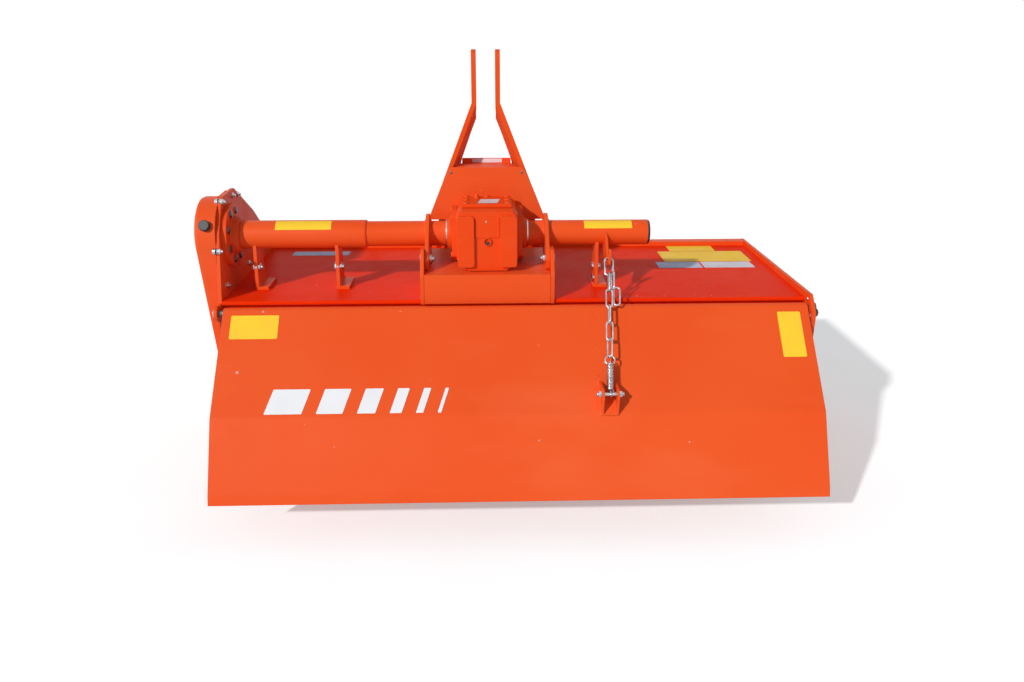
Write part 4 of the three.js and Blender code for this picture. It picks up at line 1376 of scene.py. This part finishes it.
@dataclass
class BoardDetails:
    """Plain stripes and welds of the levelling board, and the fittings at its right end."""

    stripe_left: float = -498.0
    stripe_right: float = -97.0
    stripe_height: float = 58.0
    stripe_widths: tuple[float, ...] = (96.0, 72.0, 54.0, 40.0, 30.0, 22.0)
    stripe_break: float = 14.0
    stripe_drop: float = 8.0
    gusset_half: float = 20.0
    gusset_ends: Spot = (186.0, 262.0)
    stop_seat: Spot = (-34.0, -35.0)
    rivet_seats: tuple[Spot, ...] = ((-14.0, 0.0), (-40.0, -33.0), (-50.0, -60.0))

    def build(self) -> None:
        """Builds the board's details."""
        self.stripes()
        self.welds()
        self.ends()

    def stripes(self) -> None:
        """Plain slanted bars of white film above the crease."""
        board = BoardFace()
        slope = (Vector((0, *board.knee)) - board.origin).length
        widths = self.stripe_widths
        gap = (self.stripe_right - self.stripe_left - sum(widths)) / (len(widths) - 1)
        x = self.stripe_left
        labels = Labels(corner=2.0)
        along = slope - self.stripe_drop - self.stripe_height / 2
        for i, width in enumerate(widths):
            middle = board.on(x + width / 2, along, labels.lift)
            labels.flat(f"board_stripe_{i + 1}", middle, RIGHT, board.up, width - self.stripe_break,
                        self.stripe_height, STRIPE, Body.BOARD, skew=16.0)
            x += width + gap

    def welds(self) -> None:
        """Beads along the feet of the clevis gussets, and spatter beside them."""
        board = BoardFace()
        middle = LAYOUT.local(LAYOUT.middle("clevis_bolt")).x
        rise, foot = self.gusset_ends
        seams = [(board.on(x, rise, 1.0), board.on(x, foot, 1.0))
                 for x in (middle - self.gusset_half, middle + self.gusset_half)]
        WELDS.piece("clevis_welds", seams, [], Body.BOARD)
        spots = [(-22, 14, 1.3), (-24, 22, 1.0), (-20, 31, 1.2), (-26, 52, 0.9), (-22, 96, 1.2),
                 (-19, 128, 1.0), (-25, 148, 1.3), (-21, 170, 1.6), (-28, 180, 1.1), (-23, 196, 1.9),
                 (-31, 203, 1.2), (-24, 214, 1.6), (-27, 236, 1.3), (-20, 246, 1.5), (34, 240, 1.2),
                 (38, 208, 0.9)]
        drops = []
        for dx, along, radius in spots:
            drop = Carriers.rivet(radius, radius * 1.1)
            drop.data.transform(Bench.facing(board.on(middle + dx, along, 0.0), board.out))
            drops.append(drop)
        Bench.dress(Bench.join(drops), "weld_spatter", Body.BOARD, Slot.PAINT, BEAD_PAINT, 60.0)

    def ends(self) -> None:
        """The rubber stop on the right plate and the rivets on the plate's inside."""
        plate = face_x("right_side_plate", 1)
        cap = Bench.cylinder(10.5 * MM, 15 * MM, 28, (0, 0, 7.5 * MM))
        Bench.crown(cap, [(2.0, 3.0), (3.0, 1.6)])
        cap.data.transform(Bench.facing(at(plate, *self.stop_seat), RIGHT))
        Bench.dress(cap, "plate_stop_cap", Body.FRAME, Slot.PLASTIC, KNOB, 40.0)
        inner = face_x("right_side_plate", -1)
        places = [Bench.facing(at(inner, *seat), LEFT) for seat in self.rivet_seats]
        piece = Bench.stamp(Carriers.rivet(4.0, 2.4), places)
        Bench.dress(piece, "right_plate_rivets", Body.FRAME, Slot.ZINC, ZINC, 60.0)


@dataclass
class Stay:
    """The stay chain: long links, two loose links beside them, the ring and the coil spring."""

    wire: float = 4.6
    width: float = 19.0
    length: float = 51.0
    pitch: float = 42.0
    turns: tuple[float, ...] = (0.0, 88.0, 6.0, 82.0, 4.0, 52.0)
    spring_length: float = 72.0
    spring_radius: float = 6.3
    spring_wire: float = 3.2
    spring_turns: int = 18
    screw_steps: int = 20
    slack_keep: float = 0.857

    def __post_init__(self) -> None:
        """Finds the chain's line from the hook to the clevis bolt."""
        joint = next(j for j in frame["record"]["behaviour"]["joints"] if j["name"] == "stay_swing")
        hook = Vector(joint["pos_m"])
        low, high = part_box("chain_hook")
        self.top = Vector(((low.x + high.x) / 2, hook.y, hook.z))
        self.bolt = LAYOUT.middle("clevis_bolt")
        self.axis = (self.bolt - self.top).normalized()
        self.run = (self.bolt - self.top).length / MM
        self.across = (RIGHT - self.axis * RIGHT.dot(self.axis)).normalized()
        self.face = self.axis.cross(self.across).normalized()

    def place(self, along: float, turn: float, shift: Vector | None = None) -> Matrix:
        """Where a link goes.

        Args:
            along: millimetres from the hook to the link's top wire.
            turn: degrees that the link is turned about the chain.
            shift: offset sideways, in metres.

        Returns:
            The matrix; local Y runs down the chain and local X across it.
        """
        spin = Matrix.Rotation(math.radians(turn), 3, self.axis)
        x = spin @ self.across
        turned = Matrix((x, self.axis, x.cross(self.axis))).transposed().to_4x4()
        start = self.top + self.axis * along * MM + (shift or Vector((0, 0, 0)))
        return Matrix.Translation(start) @ turned

    def link(self) -> bpy.types.Object:
        """Models one long link.

        Returns:
            The link, its top wire at the origin and its length along +Y.
        """
        middle = (self.width - self.wire) / 2
        link = Bench.torus(middle, self.wire / 2, 24, 10)
        Bench.edit(link)
        Bench.pick(link, "VERT", lambda co: co.y > 0.0001)
        bpy.ops.transform.translate(value=(0, (self.length - self.width) * MM, 0))
        bpy.ops.object.mode_set(mode="OBJECT")
        link.data.transform(Matrix.Translation((0, middle * MM, 0)))
        return link

    def spring(self, start: float, end: float) -> bpy.types.Object:
        """Models the coil spring between two places along the chain.

        Args:
            start: first place, in millimetres.
            end: last place.

        Returns:
            The spring.
        """
        Bench.clear()
        bpy.ops.mesh.primitive_circle_add(vertices=8, radius=self.spring_wire / 2 * MM,
                                          location=(self.spring_radius * MM, 0, 0),
                                          rotation=(math.pi / 2, 0, 0))
        coil = bpy.context.active_object
        Bench.only(coil)
        bpy.ops.object.transform_apply(location=True, rotation=True, scale=True)
        screw = coil.modifiers.new("coil", "SCREW")
        screw.axis = "Z"
        screw.iterations = self.spring_turns
        screw.screw_offset = (end - start) * MM / self.spring_turns
        screw.steps = self.screw_steps
        screw.render_steps = self.screw_steps
        screw.use_merge_vertices = True
        bpy.ops.object.modifier_apply(modifier=screw.name)
        Bench.edit(coil, "EDGE")
        bpy.ops.mesh.select_non_manifold()
        bpy.ops.mesh.fill()
        bpy.ops.object.mode_set(mode="OBJECT")
        Bench.recalc(coil)
        coil.data.transform(Bench.facing(self.top + self.axis * start * MM, self.axis))
        return coil

    def eye(self, along: float, radius: float, wire: float, axis: Vector) -> bpy.types.Object:
        """Models a round eye of wire.

        Args:
            along: millimetres from the hook to its middle.
            radius: of the eye.
            wire: thickness of the wire.
            axis: direction through the eye.

        Returns:
            The eye.
        """
        eye = Bench.torus(radius, wire / 2, 28, 8)
        Bench.edit(eye)
        Bench.pick(eye, "VERT", lambda co: co.y > radius * 0.8 * MM)
        bpy.ops.transform.resize(value=(0.8, 1.0, 1.0))
        bpy.ops.object.mode_set(mode="OBJECT")
        eye.data.transform(Bench.facing(self.top + self.axis * along * MM, axis))
        return eye

    def build(self) -> None:
        """Builds the chain and the spring and lets them ride on the stay's body."""
        spring_start = self.run - self.spring_length
        places = [self.place(self.pitch * i, turn) for i, turn in enumerate(self.turns)]
        places[0] = places[0] @ Matrix.Diagonal((1.3, 1.0, 1.15, 1.0))
        places.append(self.place(self.pitch - 2.0, 70.0, self.across * 7.5 * MM + self.face * 5.0 * MM))
        places.append(self.place(self.pitch * 2 - 8.0, 4.0, self.across * 18.0 * MM - self.face * 4.0 * MM))
        chain = Bench.stamp(self.link(), places)
        last = self.pitch * (len(self.turns) - 1) + self.length - self.wire
        reach = (spring_start - last) / 2
        whole = Bench.join([chain, self.eye(last + reach - 1.0, reach + 2.5, 3.6, self.face)])
        Bench.dress(whole, "stay_links", Body.STAY, Slot.ZINC, CHAIN_ZINC, 60.0)
        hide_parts("stay_chain")
        coil = self.spring(spring_start, self.run - 8.0)
        eyes = [self.eye(self.run, 7.4, self.spring_wire, RIGHT),
                self.eye(spring_start - 3.0, 4.6, self.spring_wire, self.across)]
        spring = Bench.join([coil, *eyes])
        Bench.dress(spring, "stay_coil_spring", Body.STAY, Slot.ZINC, CHAIN_ZINC, 60.0)
        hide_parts("stay_spring")
        for piece in (whole, spring):
            tuple(self.axis)
            tuple(self.top)
            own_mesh(piece)


# Setting
@dataclass
class Setting:
    """Camera, floor, lamps and world."""

    focal: float = 853.0
    width_px: float = 1024.0
    sensor: float = 36.0
    pitch: float = 20.2
    yaw: float = 1.7
    eye: Point = (0.0, -1911.0, 600.0)
    sun_travel: Point = (0.562, 0.673, -0.481)
    sun_strength: float = 2.65
    sun_angle: float = 2.0
    sky_strength: float = 0.33
    floor_lift: float = 0.36
    sky: Colour = (0.93, 0.96, 1.0)

    def camera(self) -> None:
        """Adds the camera."""
        data = bpy.data.cameras.new("camera")
        data.sensor_width = self.sensor
        data.lens = self.focal / self.width_px * self.sensor
        camera = bpy.data.objects.new("camera", data)
        camera.location = at(*self.eye)
        camera.rotation_euler = (math.radians(90 - self.pitch), 0.0, math.radians(-self.yaw))
        bpy.context.scene.collection.objects.link(camera)
        bpy.context.scene.camera = camera

    def floor(self) -> None:
        """Adds the pale floor, white where the camera looks at it and still catching shadow."""
        Bench.clear()
        bpy.ops.mesh.primitive_plane_add(size=60.0, location=(0, 0, -0.001))
        floor = bpy.context.active_object
        floor.name = "floor"
        g = Graph("pale_floor")
        grain = g.noise(4.0, 4.0)
        colour = g.mix(g.ramp(grain, 0.3, 0.7), (0.93, 0.93, 0.93), (0.96, 0.96, 0.96))
        g.finish(colour, 0.8, g.bump(grain, 0.02, 0.002), specular=0.0)
        lit = next(node for node in g.tree.nodes if node.type == "BSDF_PRINCIPLED")
        seen = g.add("LightPath").outputs["Is Camera Ray"]
        strength = g.maths("MULTIPLY", seen, self.floor_lift)
        glow = g.add("Emission", Color=(1.0, 1.0, 1.0, 1.0), Strength=strength)
        both = g.add("AddShader", i0=lit.outputs[0], i1=glow.outputs[0])
        g.tree.links.new(both.outputs[0], g.output.inputs["Surface"])
        floor.data.materials.append(g.material)

    def lamps(self) -> None:
        """Adds the key light from the rear left and the even sky."""
        data = bpy.data.lights.new("key", "SUN")
        data.energy = self.sun_strength
        data.angle = math.radians(self.sun_angle)
        key = bpy.data.objects.new("key", data)
        key.rotation_euler = Vector(self.sun_travel).to_track_quat("-Z", "Y").to_euler()
        bpy.context.scene.collection.objects.link(key)
        world = bpy.data.worlds.new("sky")
        bpy.context.scene.world = world
        world.use_nodes = True
        tree = world.node_tree
        tree.nodes.clear()
        add, link = tree.nodes.new, tree.links.new
        mix = add("ShaderNodeMixShader")
        shades = ((self.sky, self.sky_strength), ((1.0, 1.0, 1.0), 1.0))
        for socket, (colour, strength) in zip(mix.inputs[1:], shades):
            shade = add("ShaderNodeBackground")
            shade.inputs["Color"].default_value = (*colour, 1.0)
            shade.inputs["Strength"].default_value = strength
            link(shade.outputs[0], socket)
        path = add("ShaderNodeLightPath")
        seen = path.outputs["Is Camera Ray"]
        for ray in ("Is Glossy Ray", "Is Transmission Ray"):
            either = add("ShaderNodeMath")
            either.operation = "MAXIMUM"
            link(seen, either.inputs[0])
            link(path.outputs[ray], either.inputs[1])
            seen = either.outputs[0]
        link(seen, mix.inputs[0])
        link(mix.outputs[0], add("ShaderNodeOutputWorld").inputs["Surface"])

    def build(self) -> None:
        """Builds the setting."""
        self.camera()
        self.floor()
        self.lamps()
        bpy.context.scene.view_settings.view_transform = "Standard"


EDGE_RADII: dict[str, float] = {
    "deck_shell": 1.2, "front_beam": 2.0, "left_side_plate": 0.8, "right_side_plate": 0.8, "saddle_pan": 1.2,
    "pto_shield": 0.8, "mast_arm_left": 0.9, "mast_arm_right": 0.9, "levelling_board": 0.8,
    "gearbox_housing": 1.5, "gearbox_rear_cover": 1.5, "gearbox_top_cover": 1.2, "tube_lug_left": 0.8,
    "tube_lug_right": 0.8, "deck_lug_left": 0.8, "deck_lug_right": 0.8, "lower_hitch_left": 1.0,
    "lower_hitch_right": 1.0,
}


def main() -> None:
    """Builds every sub-assembly in order."""
    logging.basicConfig(level=logging.INFO, format="%(name)s %(message)s")
    Setting().build()
    Skin(edge_radius=EDGE_RADII).build()
    for maker in (GearDrive(), Gearbox(), Carriers(), RotorFasteners(), Labels(), BoardDetails(), Stay()):
        maker.build()
        LOG.info("built %s", type(maker).__name__)


if __name__ == "__main__":
    main()
